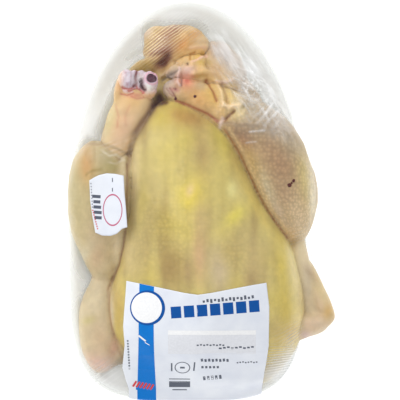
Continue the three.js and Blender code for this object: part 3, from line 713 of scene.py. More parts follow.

# Every seam is darkened with painted shade, and blood shows through along the skin's edges and in fine lines;
# other lines below are painted shade and highlight, as marked.
colour = mixed(colour, (150, 114, 74), 0.45 * seam)
BREAST_EDGE = [(13.5, 39), (16.5, 33.5), (20, 27.5), (25.5, 17), (30, 7), (34, -1), (40, -10.5), (47.8, -21)]
STAINS = [
    ([(x + 2.2, y + 0.8) for x, y in BREAST_EDGE], 1.0, (222, 192, 140), 0.5),
    (BREAST_EDGE, 0.55, (156, 102, 54), 0.9),
    ([(-13.8, 54.8), (-8, 52.6), (-2, 50), (4, 47), (9.5, 43.5)], 0.9, (158, 92, 62), 0.9),
    # Painted shade: brown down the crevice between the left shank and the breast.
    (CREVICE[:4], 2.6, (166, 132, 92), 0.75),
    (CREVICE[:4], 1.1, (138, 102, 70), 0.85),
    (CREVICE[3:], 1.0, (184, 154, 114), 0.8),
    # Painted shade: brown lines down the breast's left edge, along the left thigh and the left wing.
    ([(-40.4, 20), (-40.6, 8), (-41, -10), (-42.3, -22), (-45, -35), (-50.5, -47)],
     0.7, (150, 116, 80), 0.95),
    ([(-51, -48), (-50.5, -58), (-49.8, -68), (-47, -78), (-43.5, -87)], 0.7, (168, 132, 98), 0.8),
    ([(-63, 31.2), (-57, 31), (-52, 30.4), (-46, 28.4), (-40.5, 25.5)], 0.8, (168, 140, 100), 0.7),
    ([(-54, 27), (-50, 24.5), (-46, 25), (-42, 22)], 0.6, (212, 200, 170), 0.7),
    ([(-50, 21), (-46.5, 20), (-43, 22.5)], 0.5, (206, 192, 162), 0.7),
    ([(11.6, 42.6), (24.2, 41.6), (40.7, 39)], 0.9, (150, 126, 96), 0.7),
    # These lines lie on the folds: the dark ones are painted shade in the folds' creases and the pale ones
    # painted highlight on their ridges.
    ([(3, 66), (6.8, 60), (8.6, 54.5)], 0.7, (168, 104, 50), 0.95),
    ([(8, 66), (11, 59.5), (12.4, 51)], 0.8, (240, 210, 158), 0.8),
    ([(11, 65), (13.8, 58), (14.6, 52.5)], 0.7, (176, 132, 66), 0.8),
    ([(8, 65.4), (13, 64.8), (17.5, 66.4)], 0.7, (238, 208, 190), 0.8),
    ([(12.8, 51.8), (16, 50.6), (20.5, 51.8)], 1.3, (242, 212, 166), 0.95),
    ([(18, 48.8), (15.5, 46.6), (12.8, 43.6)], 0.9, (140, 94, 46), 0.95),
    ([(11.8, 45), (10.4, 40)], 1.0, (228, 202, 190), 0.7),
    # These lines lie on the folds too: dark ones are painted shade in the creases, pale ones painted
    # highlight on the ridges.
    ([(-22, 68.5), (-17, 72), (-12.5, 75.5)], 0.7, (212, 182, 146), 0.8),
    ([(-21.5, 66), (-15, 69.5), (-11.5, 72.5)], 0.6, (134, 118, 106), 0.8),
    ([(-11.8, 73), (-12.2, 68), (-13, 65), (-11.4, 62.8)], 0.6, (230, 200, 190), 0.8),
    ([(-10.6, 67), (-10.8, 62.8)], 0.6, (126, 92, 88), 0.8),
    ([(-17.5, 61.5), (-15.5, 58.5), (-13.8, 55.8)], 0.5, (142, 90, 84), 0.9),
    ([(-19, 61.5), (-17, 58.5), (-15.5, 57)], 0.4, (150, 104, 92), 0.8),
    ([(-5, 76), (-1, 78), (3, 79.5)], 0.7, (236, 194, 168), 0.9),
    ([(-6, 77.6), (-5.9, 80.6), (-3, 81.6)], 0.6, (180, 126, 54), 0.9),
    ([(-44, 58.4), (-40.5, 57.6), (-37, 58.8)], 0.5, (172, 84, 70), 0.8),
    ([(-38.5, 57), (-35, 55.6), (-31.5, 56.2)], 0.5, (196, 122, 100), 0.7),
    ([(-46.5, 52), (-45, 46), (-46, 40)], 0.5, (204, 140, 112), 0.6),
    ([(-39, 52), (-41.5, 46), (-41, 41)], 0.5, (208, 150, 120), 0.5),
    # Painted highlight on the ridge of the fold below the tail.
    ([(-6, 84), (2, 84.6)], 1.0, (234, 194, 152), 0.8),
    ([(-16, 61), (-13, 60.4)], 1.4, (186, 128, 116), 0.8),
    ([(-14.5, 61.4), (-14.4, 61.2)], 0.8, (112, 58, 52), 0.95),
    ([(-7.4, 75.4), (-7.4, 75.3)], 0.6, (96, 66, 40), 0.9),
    ([(23, 51.4), (23.2, 50.8)], 0.8, (126, 104, 52), 0.8),
    # Painted shadow: near black down the gap between the left shank and the breast's tip, and round it.
    (GAP, 2.2, (90, 42, 34), 1.0),
    ([(-26, 52.5), (-22, 55), (-19, 53.6)], 1.3, (104, 62, 46), 0.9),
    # Partly the vent's own red-brown and partly painted shade of its hollow.
    (VENT, 3.2, (150, 92, 66), 0.85),
    ([(-21.5, 75), (-18.5, 78)], 2.2, (104, 46, 26), 1.0),
    ([(-27, 81), (-22, 83), (-17.5, 82)], 1.8, (156, 100, 84), 0.85),
    ([(-22.5, 71.5), (-16.5, 75.5)], 0.7, (206, 168, 110), 0.7),
    ([(-62.5, 14), (-59, 16.5), (-55, 17)], 0.8, (150, 128, 66), 0.6),
]
for line, width, tone, strength in STAINS:
    colour = mixed(colour, tone, strength * hump(from_line(line, plan)[0], width) * (up > 0.05))
colour *= 1 + (0.05 + 0.06 * share["right_leg"] + 0.05 * share["folds"])[:, None] * speckle[:, None]


def give(obj, name, values):
    """Stores numbers on an object's vertices under a name."""
    obj.data.attributes.new(name, "FLOAT", "POINT").data.foreach_set("value", np.ravel(values))


def give_colours(obj, name, colours):
    """Stores colours on an object's vertices under a name."""
    solid = np.column_stack([colours.clip(0, 1), np.ones(len(colours))])
    obj.data.attributes.new(name, "FLOAT_COLOR", "POINT").data.foreach_set("color", solid.ravel())


give_colours(bird, "skin_colour", colour)

# How strongly the feather follicles show, and where on the breast they show more: x, y, radius, strength.
PITTED_SPOTS = [(-20, -20, 13, 0.4), (20, -30, 9, 0.25), (50, -60, 10, 0.25), (-16, 20, 12, 0.15)]
pitted = 0.12 + 0.7 * share["right_leg"] * (1 - spot(skin, -2, 58, 16)) + 0.1 * share["left_thigh"]
for x, y, radius, strength in PITTED_SPOTS:
    pitted += strength * breast * spot(skin, x, y, radius, 1.4, 90)
pitted *= 0.75 + 0.5 * noise_at(skin, 9, 6.4)
give(bird, "pitted", pitted.clip(0, 1))

# The skin laid out flat for them: how far a point is down a limb's side, from this height, counts outwards.
UNROLLED_FROM = 60.0
down_side = UNROLLED_FROM - skin[:, 2].clip(None, UNROLLED_FROM)
laid_out = np.column_stack([plan + normals()[:, :2] * (0.8 * down_side)[:, None], np.zeros(len(skin))])
bird.data.attributes.new("laid_out", "FLOAT_VECTOR", "POINT").data.foreach_set("vector", laid_out.ravel())

# The film's pleats over the tail are painted onto its skin as fine stripes: brown lines for their shade and
# pale ones for their highlight.
STRIPE_SPACING, STRIPE_SLANT = 1.5, 37
_, phase = turned(plan, -18, 88, STRIPE_SLANT)
give(bird, "stripe_phase", phase / STRIPE_SPACING + 0.12 * noise_at(skin, 7, 2.7))
painted_pleat_light = 1.3 * spot(skin, -22, 86.5, 7.5, 1.5, 50) + 0.8 * spot(skin, -13, 94, 4.5, 1.5, 30)
painted_pleat_light *= (share["tail"] + 0.5 * share["carcass"]) * (0.8 + 0.8 * noise_at(skin, 7, 5.1))
painted_pleat_light *= 1 - 0.8 * hump(from_line(VENT, plan)[0], 2)
give(bird, "painted_pleat_light", painted_pleat_light.clip(0, 1))

flesh, nodes, links, shader = new_material("raw_skin")


def field(name, output="Fac"):
    """A node that reads one of the mesh's own values."""
    node = nodes.new("ShaderNodeAttribute")
    node.attribute_name = name
    return node.outputs[output]


def reckon(operation, *values, clamp=False):
    """A node that reckons with numbers or other nodes' outputs."""
    node = nodes.new("ShaderNodeMath")
    node.operation = operation
    node.use_clamp = clamp
    for socket, value in zip(node.inputs, values):
        if isinstance(value, float):
            socket.default_value = value
        else:
            links.new(value, socket)
    return node.outputs["Value"]


def blend(weight, first, second, kind="MIX"):
    """A node that mixes the first colour with the second, which may be a screen colour."""
    node = nodes.new("ShaderNodeMix")
    node.data_type, node.blend_type = "RGBA", kind
    for socket, value in (("Factor", weight), ("A", first), ("B", second)):
        if isinstance(value, tuple):
            node.inputs[socket].default_value = (*linear(*value), 1)
        elif isinstance(value, float):
            node.inputs[socket].default_value = value
        else:
            links.new(value, node.inputs[socket])
    return node.outputs["Result"]


def wave_of(phase):
    """A wave from -1 to 1 by one of the mesh's own values, which counts whole waves."""
    return reckon("COSINE", reckon("MULTIPLY", field(phase), 2 * math.pi))


follicles = nodes.new("ShaderNodeTexVoronoi")
follicles.voronoi_dimensions = "2D"
follicles.feature = "SMOOTH_F1"
dial(follicles, {"Smoothness": 0.35, "Scale": 0.41, "Randomness": 0.7})
links.new(field("laid_out", "Vector"), follicles.inputs["Vector"])
mottle = pattern("Noise", {"Scale": 260, "Detail": 5}).outputs["Fac"]
# A follicle is a pale bead in slightly darker skin.
bead = ranged(follicles.outputs["Distance"], 1.2, 0.84, 0.05, 0.55)
skin_tone = blend(field("pitted"), field("skin_colour", "Color"), bead, "MULTIPLY")
skin_tone = blend(1.0, skin_tone, ranged(mottle, 0.86, 1.14), "MULTIPLY")
wave = wave_of("stripe_phase")
# Painted shade and highlight of the film's pleats, as brown and pale lines on the tail's skin.
pleat_shade_line = reckon("MULTIPLY", reckon("MULTIPLY", wave, 0.85, clamp=True), field("painted_pleat_light"))
pleat_highlight_line = reckon("MULTIPLY", reckon("MULTIPLY", wave, -0.8, clamp=True), field("painted_pleat_light"))
skin_tone = blend(pleat_shade_line, skin_tone, (166, 116, 84))
skin_tone = blend(pleat_highlight_line, skin_tone, (238, 218, 160))
links.new(skin_tone, shader.inputs["Base Color"])
links.new(ranged(mottle, 0.35, 0.6), shader.inputs["Roughness"])
pimples = reckon("MULTIPLY", follicles.outputs["Distance"], field("pitted"))
emboss(reckon("MULTIPLY_ADD", pimples, -1.2, mottle), 0.4, 0.0007)
dial(shader, {
    "Specular IOR Level": 0.35,
    "Subsurface Weight": 0.08,
    "Subsurface Radius": (0.002, 0.0012, 0.0007),
    "Subsurface Scale": 1.0,
})
bird.data.materials.append(flesh)
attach(bird, "root")
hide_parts("chicken")

# ---- Hock knuckles ----
# The left foot was cut off at the hock. The joint's wide end is bare there: lilac and white cartilage parted
# by two clefts, with a dark pool of marrow at its right and torn red skin below it.

KNUCKLE_GRAIN = 0.35
KNUCKLE_FACE = 46  # what is above this height is cut by the clefts
# x, y, z, and the radius along x, y and z.
KNUCKLES = [
    (-40.5, 65.5, 47.8, 5.2, 6.4, 5.2), (-36.5, 65.5, 47.2, 5, 6, 5), (-38, 60.5, 47, 6, 5, 5.4),
    (-32.5, 65.5, 47.6, 4.6, 5.8, 5), (-28.4, 64.8, 48.6, 5.0, 6.2, 5.8), (-29.4, 60, 48.2, 5, 4.8, 5.6),
    (-34, 60.5, 47.2, 5.5, 4.8, 5.2),
]
lumps = []
for x, y, z, *radii in KNUCKLES:
    bpy.ops.mesh.primitive_uv_sphere_add(segments=32, ring_count=20, radius=1)
    ball = bpy.context.object
    place(ball, coords(ball) * MM * radii + [x + offset[0], y + offset[1], z])
    lumps.append(ball)
knuckles = joined(lumps, "hock_knuckles")
apply(knuckles, "REMESH", mode="VOXEL", voxel_size=KNUCKLE_GRAIN * MM, adaptivity=0)
apply(knuckles, "SMOOTH", factor=0.5, iterations=4)
bone = coords(knuckles) - [*offset, 0]
TORN = [
    [(-43, 62), (-40, 60.6), (-37.6, 61.5)], [(-40, 59.6), (-36.4, 61), (-34.6, 58.6)],
    [(-35.5, 62.5), (-34.2, 60), (-32, 58.8)], [(-36.4, 61), (-33.4, 60.8), (-31.4, 58.8)],
]
slit, _ = from_line([(-35.4, 71), (-35.8, 66.5), (-35.4, 64), (-37, 62.5)], bone[:, :2])
cleft, _ = from_line([(-33, 65.4), (-32.2, 62), (-31, 60.4)], bone[:, :2])
torn = np.min([from_line(line, bone[:, :2])[0] for line in TORN], axis=0)
hole = spot(bone, -27, 66.8, 2.4, 1.25, -30)
marrow = ((hole - 0.35) / 0.14).clip(0, 1)
sunk = 1.4 * hump(slit, 0.8) + 2.2 * hump(cleft, 1.0) + 1.4 * marrow + 0.9 * hump(torn, 0.6)
bone[:, 2] -= (bone[:, 2] > KNUCKLE_FACE) * (sunk + 0.9 * hump(bone[:, 0] + 34, 2.2))
bone += 0.5 * noise_at(bone, 3.4, 4.4)[:, None] + 0.25 * noise_at(bone, 1.4, 6.6)[:, None]
streaky = noise_at(bone * [1.6, 0.5, 1], 1.6, 3.9)
tones = np.tile(linear(204, 190, 200), (len(bone), 1))
for tone, weight in (
    ((224, 214, 220), 0.8 * spot(bone, -41, 66.5, 3.2)),
    ((182, 164, 184), 0.8 * spot(bone, -39, 63, 2.6)),
    ((168, 124, 134), 1.1 * streaky.clip(0, 1)),
    ((188, 172, 168), 0.8 * spot(bone, -33.5, 67.5, 2.6)),
    ((240, 240, 236), 0.95 * spot(bone, -28.6, 62, 2.6, 1.2, 80)),
    ((212, 164, 180), hump(hole - 0.25, 0.12)),
    ((218, 178, 140), 1.6 * hump(bone[:, 1] - 55, 4.2)),
    ((226, 188, 154), 1.2 * hump(bone[:, 0] + 46, 2.8)),
    ((132, 58, 56), hump(slit, 0.8)),
    ((86, 40, 42), hump(cleft, 1.2)),
    ((186, 92, 80), 0.9 * hump(torn, 0.6)),
    ((82, 34, 54), marrow),
):
    tones = mixed(tones, tone, weight)
place(knuckles, bone + [*offset, 0])
outward(knuckles)
bpy.ops.object.shade_smooth()
give_colours(knuckles, "tone", tones)
gristle, nodes, links, shader = new_material("cartilage")
links.new(field("tone", "Color"), shader.inputs["Base Color"])
wetness = pattern("Noise", {"Scale": 700}).outputs["Fac"]
links.new(ranged(wetness, 0.15, 0.4), shader.inputs["Roughness"])
dial(shader, {
    "Subsurface Weight": 0.2,
    "Subsurface Radius": (0.002, 0.0012, 0.0012),
    "Subsurface Scale": 1.0,
})
knuckles.data.materials.append(gristle)
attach(knuckles, "root")

# ---- Dried blood ----
# Small flat crusts of dried blood: a double one on the right leg, and single ones at the right hock.

SCABS = [(48.3, 8.4, 1.15), (49.5, 9.6, 0.55), (50.6, 10.8, 0.9), (-3.3, 56.9, 0.8), (-13.8, 55.8, 0.8)]
SCAB_HEIGHT = 0.35
ABOVE_ALL = 150.0  # higher than anything in the pack
skin_tree = tree_of([bird])


def met_below(tree, x, y):
    """Where a point meets a surface on its way straight down, and which way is outward there."""
    return tree.ray_cast(Vector((x, y, ABOVE_ALL)), Vector((0, 0, -1)))[:2]


def shades(value, dark, light, start=0.0, end=1.0):
    """A node that fades from a dark colour to a light one by a value."""
    node = nodes.new("ShaderNodeValToRGB")
    low, high = node.color_ramp.elements
    low.position, high.position = start, end
    low.color, high.color = (*dark, 1), (*light, 1)
    links.new(value, node.inputs["Fac"])
    return node.outputs["Color"]


crusts = []
for x, y, radius in SCABS:
    hit, normal = met_below(skin_tree, x + offset[0], y + offset[1])
    bpy.ops.mesh.primitive_ico_sphere_add(subdivisions=3, radius=1)
    crust = bpy.context.object
    ball = coords(crust) * MM
    ball *= 1 + 0.3 * noise_at(ball + x, 0.9)[:, None]
    tilt = np.array(normal.to_track_quat("Z", "Y").to_matrix())
    place(crust, (ball * [radius, radius, SCAB_HEIGHT]) @ tilt.T + np.array(hit) + 0.1 * np.array(normal))
    crusts.append(crust)
scabs = joined(crusts, "dried_blood")
bpy.ops.object.shade_smooth()
dried, nodes, links, shader = new_material("dried_blood")
grain = pattern("Noise", {"Scale": 1500}).outputs["Fac"]
links.new(shades(grain, linear(44, 14, 12), linear(104, 34, 26)), shader.inputs["Base Color"])
dial(shader, {"Roughness": 0.5})
scabs.data.materials.append(dried)
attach(scabs, "root")

# ---- Stretch film ----
# One clear sheet, about 0.015 mm thick, pulled tight over bird and rim and folded shut under the base. It
# clings to the high places, spans the hollows, and has fine pleats where it is pulled down or bunched.

FILM_AROUND, FILM_UP = 370, 132
WALL_STEPS = 14
CLING = 0.25  # from what it touches
UNDERSIDE = 0.05
FLAT_UNDER = 0.9  # what is lower than this lies flat under the base
FAR_OUT = 400  # farther from the core than anything in the pack
TIGHTENINGS = 700  # how often the slack film is drawn in before it lies still
core = np.array([*(tray_middle + [4, 6]), 18.0])  # a point well inside the bird, which the film is drawn from
turns = np.arange(FILM_AROUND) * 2 * np.pi / FILM_AROUND
bpy.ops.object.select_all(action="DESELECT")
for source in (bird, tray, knuckles):
    source.select_set(True)
bpy.context.view_layer.objects.active = bird
bpy.ops.object.duplicate()
bpy.ops.object.join()
hull = bpy.context.object
inside = tree_of([hull])
bpy.ops.object.mode_set(mode="EDIT")
bpy.ops.mesh.select_all(action="SELECT")
bpy.ops.mesh.convex_hull()
bpy.ops.object.mode_set(mode="OBJECT")
taut = tree_of([hull])
bpy.data.objects.remove(hull)


def reach_of(tree, directions):
    """How far out from the core the tree's outermost face lies, along each direction."""
    out = np.zeros(len(directions))
    for i, way in enumerate(directions):
        hit, _, _, distance = tree.ray_cast(Vector(core + way * FAR_OUT), Vector(-way))
        if hit is not None:
            out[i] = FAR_OUT - distance
    return out


def grid_faces(rows, columns, closed):
    """The faces of a grid of points, closed round its columns if it is a ring."""
    return [
        [row + c, row + (c + 1) % columns, row + columns + (c + 1) % columns, row + columns + c]
        for row in range(0, (rows - 1) * columns, columns)
        for c in range(columns if closed else columns - 1)
    ]


def sheet_object(name, points, faces):
    """A new object of these points and faces."""
    mesh = bpy.data.meshes.new(name)
    mesh.from_pydata((points * MM).tolist(), [], faces)
    obj = bpy.data.objects.new(name, mesh)
    bpy.context.collection.objects.link(obj)
    return obj


# Rows from under the base out to the wall, up it, round the rim, then up over the bird to its top, each as
# inset from the rim's outer edge and height.
base_rows = [(inset, UNDERSIDE) for inset in (60, 54, 48, 42, 36, 30, 25, 20, 17.2)]
climb = np.arange(WALL_STEPS + 1) / WALL_STEPS
wall_rows = [(15.2 - 12.6 * part, UNDERSIDE + 0.4 + 20.6 * part) for part in climb]
rim_rows = [(1.0, 21.8), (0.0, 22.6), (-0.25, 24.0), (-0.1, 25.4), (0.5, 26.6), (1.4, 27.2)]
spokes = []
for inset, z in base_rows + wall_rows + rim_rows:
    x, y = rim_point(turns, inset)
    spokes.append(np.column_stack([x, y, np.full(FILM_AROUND, z)]) - core)
fixed = len(spokes)
rim_way = spokes[-1] / np.linalg.norm(spokes[-1], axis=1)[:, None]
for k in range(1, FILM_UP):
    spokes.append(rim_way + (np.array([0, 0, 1]) - rim_way) * (k / FILM_UP) ** 1.1)
spokes = np.array(spokes)
reach = np.linalg.norm(spokes, axis=2)
ways = spokes / reach[:, :, None]
free = ways[fixed:].reshape(-1, 3)
least = reach.copy()
least[fixed:] = (reach_of(inside, free) + CLING).reshape(-1, FILM_AROUND)
reach[fixed:] = np.maximum(reach_of(taut, free).reshape(-1, FILM_AROUND) + CLING, least[fixed:])
for _ in range(TIGHTENINGS):
    sheet = ways * reach[:, :, None]
    crown = sheet[-1].mean(axis=0)
    above = np.concatenate([sheet[fixed + 1 :], np.broadcast_to(crown, (1, FILM_AROUND, 3))])
    sideways = np.roll(sheet[fixed:], 1, axis=1) + np.roll(sheet[fixed:], -1, axis=1)
    mean = (sheet[fixed - 1 : -1] + above + sideways) / 4
    reach[fixed:] = np.maximum(least[fixed:], (mean * ways[fixed:]).sum(axis=2))
slack = reach - least  # how far the film spans clear of what is inside

film_points = (core + ways * reach[:, :, None]).reshape(-1, 3)
film_points = np.vstack([film_points, [[*core[:2], UNDERSIDE], core + [0, 0, reach[-1].mean()]]])
faces = grid_faces(len(reach), FILM_AROUND, True)
under, crest = len(film_points) - 2, len(film_points) - 1
last_row = under - FILM_AROUND
for j in range(FILM_AROUND):
    faces.append([under, (j + 1) % FILM_AROUND, j])
    faces.append([last_row + j, last_row + (j + 1) % FILM_AROUND, crest])
film = sheet_object("stretch_film", film_points, faces)
give(film, "span", np.append(slack.ravel(), [0, 0]))

# The mesh is finer where the film is pleated, and finer still where it is bunched.
PLEATED = [(-36, 6, 74, 100), (8, 50, 26, 92), (32, 62, -99, -66), (48, 64, -30, -12)]
BUNCHED = [(16, 44, 46, 84)]
refine(film, PLEATED, RIM_Z - 2)
refine(film, BUNCHED, RIM_Z + 2)
film_points = coords(film)
flat = film_points - [*offset, 0]
span = values_of(film.data.attributes["span"].data, "value", 1)[:, 0]
top_side = flat[:, 2] > RIM_Z - 2
lift, haze_and_painted_light, phase, pleat_painted_highlight, strongest = np.zeros((5, len(flat)))

# Where the film is drawn into parallel pleats: x, y, radius, stretch, turn, spacing, fan, height, whiteness,
# which is a painted highlight along the pleats' crests.
PLEATS = [
    (-19, 88, 8, 1.8, 37, 1.5, 0.0, 0.22, 0.16),
    (-3, 93, 5, 1.6, 37, 1.6, 0.0, 0.2, 0.14),
    (44, -87, 8, 1.4, 4, 1.4, 0.01, 0.3, 0.42),
    (50, -73, 6, 1.5, 30, 1.6, 0.02, 0.2, 0.24),
    (56, -20, 6, 1.2, 20, 1.7, 0.02, 0.2, 0.12),
    (-48, 30, 6, 2.2, 20, 2.4, 0.0, 0.1, 0.05),
    (-60, -98, 8, 1.8, 35, 2.6, 0.0, 0.3, 0.14),
]
for x, y, radius, long, turn, spacing, fan, height, white in PLEATS:
    along, across = turned(flat, x, y, turn)
    wander = 0.4 * noise_at(np.column_stack([along * 0.25, across, np.zeros(len(flat))]), 4, x)
    here = (across * (1 + fan * along) + wander) / spacing
    weight = spot(flat, x, y, radius, long, turn) * top_side
    lift += height * (0.5 + 0.5 * np.cos(2 * np.pi * here)) ** 2 * weight
    stronger = weight > strongest
    phase[stronger] = here[stronger]
    pleat_painted_highlight[stronger] = white * weight[stronger]
    strongest = np.maximum(strongest, weight)

# Between tail, hock and knee the film is bunched round a knot, and its strands mostly run one way.
KNOT = (27.5, 62)
# x, y, radius, stretch, turn, strength.
CRUSHED = [(27, 62, 13, 1.4, -62, 1.1), (14, 81, 8, 1.7, -52, 0.9), (39, 45, 7, 1.7, -30, 1.0)]
crush = sum(strength * spot(flat, *place_and_shape) for *place_and_shape, strength in CRUSHED)
crush = crush.clip(0, 1) * top_side
busy = crush > 0.02
near_by = flat[busy]


def strands_at(turn, long, wide, seed, strength):
    """How far each bunched point is up a strand: they run the way turn gives in degrees, in these sizes."""
    along, across = turned(near_by, 0, 0, turn)
    drawn_out = noise_at(np.column_stack([along / long, across / wide, np.zeros(len(along))]), 1, seed)
    return (0.3 + strength * drawn_out).clip(0, 1) ** 2


strands = strands_at(-58, 11, 1.6, 1.3, 1.5)
fanned = strands_at(-24, 8, 1.3, 4.1, 1.6) * spot(near_by, *KNOT, 16)
leaning = strands_at(54, 8, 1.7, 7.7, 1.5) * spot(near_by, 37, 46, 12)
milky = (0.5 + noise_at(near_by, 6, 3.3)).clip(0, 1)
specks = noise_at(near_by, 1.5, 8.8) * spot(near_by, *KNOT, 6)
lift[busy] += crush[busy] * (0.8 * strands + 0.6 * fanned + 0.8 * leaning + 0.5 * milky + 1.0 * specks)
haze_and_painted_light[busy] += crush[busy] * (0.02 + 0.16 * milky + 0.24 * strands + 0.18 * fanned + 0.2 * leaning)
haze_and_painted_light[busy] += crush[busy] * 0.6 * specks.clip(0, 1)

# Single strands of bunched film, each a line in plan: width, height, whiteness.
STRANDS = [
    ([(26.5, 37.4), (34.5, 38)], 0.6, 0.3, 0.3),
    ([(24.5, 31.4), (30, 32)], 0.5, 0.2, 0.2),
    ([(31, 42), (35, 47), (39, 53)], 0.9, 0.4, 0.14),
    ([(8, 91), (14, 82), (20, 73)], 1.0, 0.4, 0.14),
    ([(12, 93), (20, 82), (25, 71)], 1.0, 0.4, 0.14),
]
for line, width, height, white in STRANDS:
    strand = hump(from_line(line, flat[:, :2])[0], width) * top_side
    lift += height * strand
    haze_and_painted_light += white * strand

# Where the film whitens, partly where it is doubled or stretched and partly as painted glare: x, y, radius,
# stretch, turn, whiteness.
WHITENED = [
    (38, 56, 5, 1.7, 105, 0.1), (30, 75, 8, 1.3, -50, 0.1), (46, -91, 7, 1.4, 10, 0.34),
    (12, 88, 5, 1.3, -50, 0.12), (57, -86, 4, 1.5, 60, 0.12), (-14, 101, 5, 2.4, 8, 0.24),
    (27, 68, 5, 1.6, -58, 0.2), (19, 77, 7, 1.5, -58, 0.2), (10, 84, 5, 1.5, -52, 0.1),
    (43, 44, 5, 1.6, -50, 0.16), (-62, 44, 7, 2.2, 72, 0.18), (-50, -96, 7, 1.8, 150, 0.3),
    (39, -97, 5, 2.0, 0, 0.4), (49, -83, 3.5, 2.2, 80, 0.2),
]
haze_and_painted_light += sum(white * spot(flat, *place_and_shape) for *place_and_shape, white in WHITENED) * top_side

# Down the tray's wall and under its base the slack is gathered into upright folds.
GATHERS, GATHERS_WANDER = 23, 5  # round the tray
level = flat[:, 2]
drop = ((RIM_Z - level) / RIM_Z).clip(0, 1)
bearing = np.arctan2(*(flat[:, 1::-1] - DRAWN_MIDDLE[::-1]).T)
gathers = np.abs(np.sin(bearing * GATHERS + 2.2 * np.sin(bearing * GATHERS_WANDER))) ** 6
gathers *= np.sin(drop * np.pi).clip(0, 1) * (level > 1) * (level < RIM_Z - 4)
lift += 0.8 * gathers
haze_and_painted_light += 0.10 * gathers + 0.05 * (level < 1)
lift += 0.12 * (noise_at(flat * [1, 1, 0.4], 5, 2.9).clip(0, 1)) * top_side * (span > 0.3)

# The film is clear over the bird, and hazier where it spans the open tray: partly its own haze and partly
# painted light that lifts the shade inside the tray.
BESIDE = ((-1.2, 0), (1.2, 0), (0, -1.2), (0, 1.2))
open_tray = np.zeros(len(flat))
for i in np.flatnonzero(top_side):
    x, y = film_points[i, :2]
    misses = [met_below(skin_tree, x + dx, y + dy)[0] is None for dx, dy in BESIDE]
    open_tray[i] = np.mean(misses)
haze_and_painted_light += (0.01 + 0.26 * open_tray) * (span / 7).clip(0, 1) * top_side

outer = film_points - core
outer /= np.linalg.norm(outer, axis=1)[:, None]
film_points += outer * lift[:, None]
film_points[film_points[:, 2] < FLAT_UNDER, 2] = UNDERSIDE
place(film, film_points)
give(film, "haze_and_painted_light", haze_and_painted_light.clip(0, 0.9))
give(film, "pleat_phase", phase)
give(film, "pleat_painted_highlight", pleat_painted_highlight)
outward(film)
bpy.ops.object.shade_smooth()

clear, nodes, links, shader = new_material("clear_film")
clear.surface_render_method = "BLENDED"
dial(shader, {"Base Color": (0.96, 0.97, 0.98, 1), "Roughness": 0.14})
# The film's whiteness: painted highlight along the pleats' crests, added to its haze.
pleat = reckon("POWER", reckon("MULTIPLY_ADD", wave_of("pleat_phase"), 0.5, 0.5), 3.0)
whiteness = reckon("MULTIPLY_ADD", pleat, field("pleat_painted_highlight"), field("haze_and_painted_light"))
facing = nodes.new("ShaderNodeLayerWeight")
dial(facing, {"Blend": 0.35})
glancing = reckon("MULTIPLY_ADD", reckon("POWER", facing.outputs["Facing"], 2.5), 0.36, 0.012)
links.new(reckon("ADD", glancing, whiteness, clamp=True), shader.inputs["Alpha"])
links.new(reckon("MULTIPLY_ADD", whiteness, -4.0, 0.8, clamp=True), shader.inputs["Metallic"])
emboss(pattern("Noise", {"Scale": 180, "Detail": 3}).outputs["Fac"], 0.15, 0.0006)
film.data.materials.append(clear)
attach(film, "root")
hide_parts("film")

# ---- Labels ----
# Two coated paper labels, stuck on the film, which creases them. Each lies on it as a thin sheet. The small
# one is on the left leg, and the main one covers the neck end and goes on down over the tray's rim.

PAPER = 0.12  # thickness
PAPER_GRAIN = 0.7
PAPER_LIES = 0.06  # above the film
PAPER_SPANS = 6  # how often the paper is lifted off the film's small hollows
PIVOT_Z = RIM_Z - 3.5  # the main label turns down over the rim round here, and ends at this height
RIM_STEPS = 16
RIM_SLACK = 0.15
film_tree = tree_of([film])


def over_rim(x, y, tree, above):
    """Rows that go on from a sheet's last row, over the rim's outer edge and down to the pivots' height."""
    rows = []
    for turn in np.linspace(0, math.pi / 2, RIM_STEPS + 1)[1:]:
        way = Vector((0, -math.sin(turn), math.cos(turn)))
        hits = [tree.ray_cast(Vector((px, py, PIVOT_Z)), way)[0] for px, py in zip(x, y)]
        rows.append([hit + way * above for hit in hits])
    return np.array(rows).transpose(2, 0, 1)


def resting(x, y, tree, above=0.0):
    """Heights at which a grid of plan points lies this far above a surface."""
    hits = [met_below(tree, px, py)[0] for px, py in zip(x.ravel(), y.ravel())]
    return np.array([UNDERSIDE if hit is None else hit.z + above for hit in hits]).reshape(x.shape)


def laid_sheet(name, grid, closed=False, tree=None, above=0.0):
    """A grid of points as a sheet that faces up, and that goes on over the rim if it is given a surface."""
    if tree:
        beyond = over_rim(grid[0][-1], grid[1][-1], tree, above)
        grid = [np.vstack(pair) for pair in zip(grid, beyond)]
    points = np.column_stack([values.ravel() for values in grid])
    sheet = sheet_object(name, points, grid_faces(*grid[0].shape, closed))
    alone(sheet)
    bpy.ops.object.shade_smooth()
    if sheet.data.polygons[0].normal.z < 0:
        sheet.data.flip_normals()
    return sheet


def edge_at(line, part):
    """Points at these parts of a label's edge, which is a list of plan points."""
    return [np.interp(part, np.linspace(0, 1, len(line)), values) for values in zip(*line)]


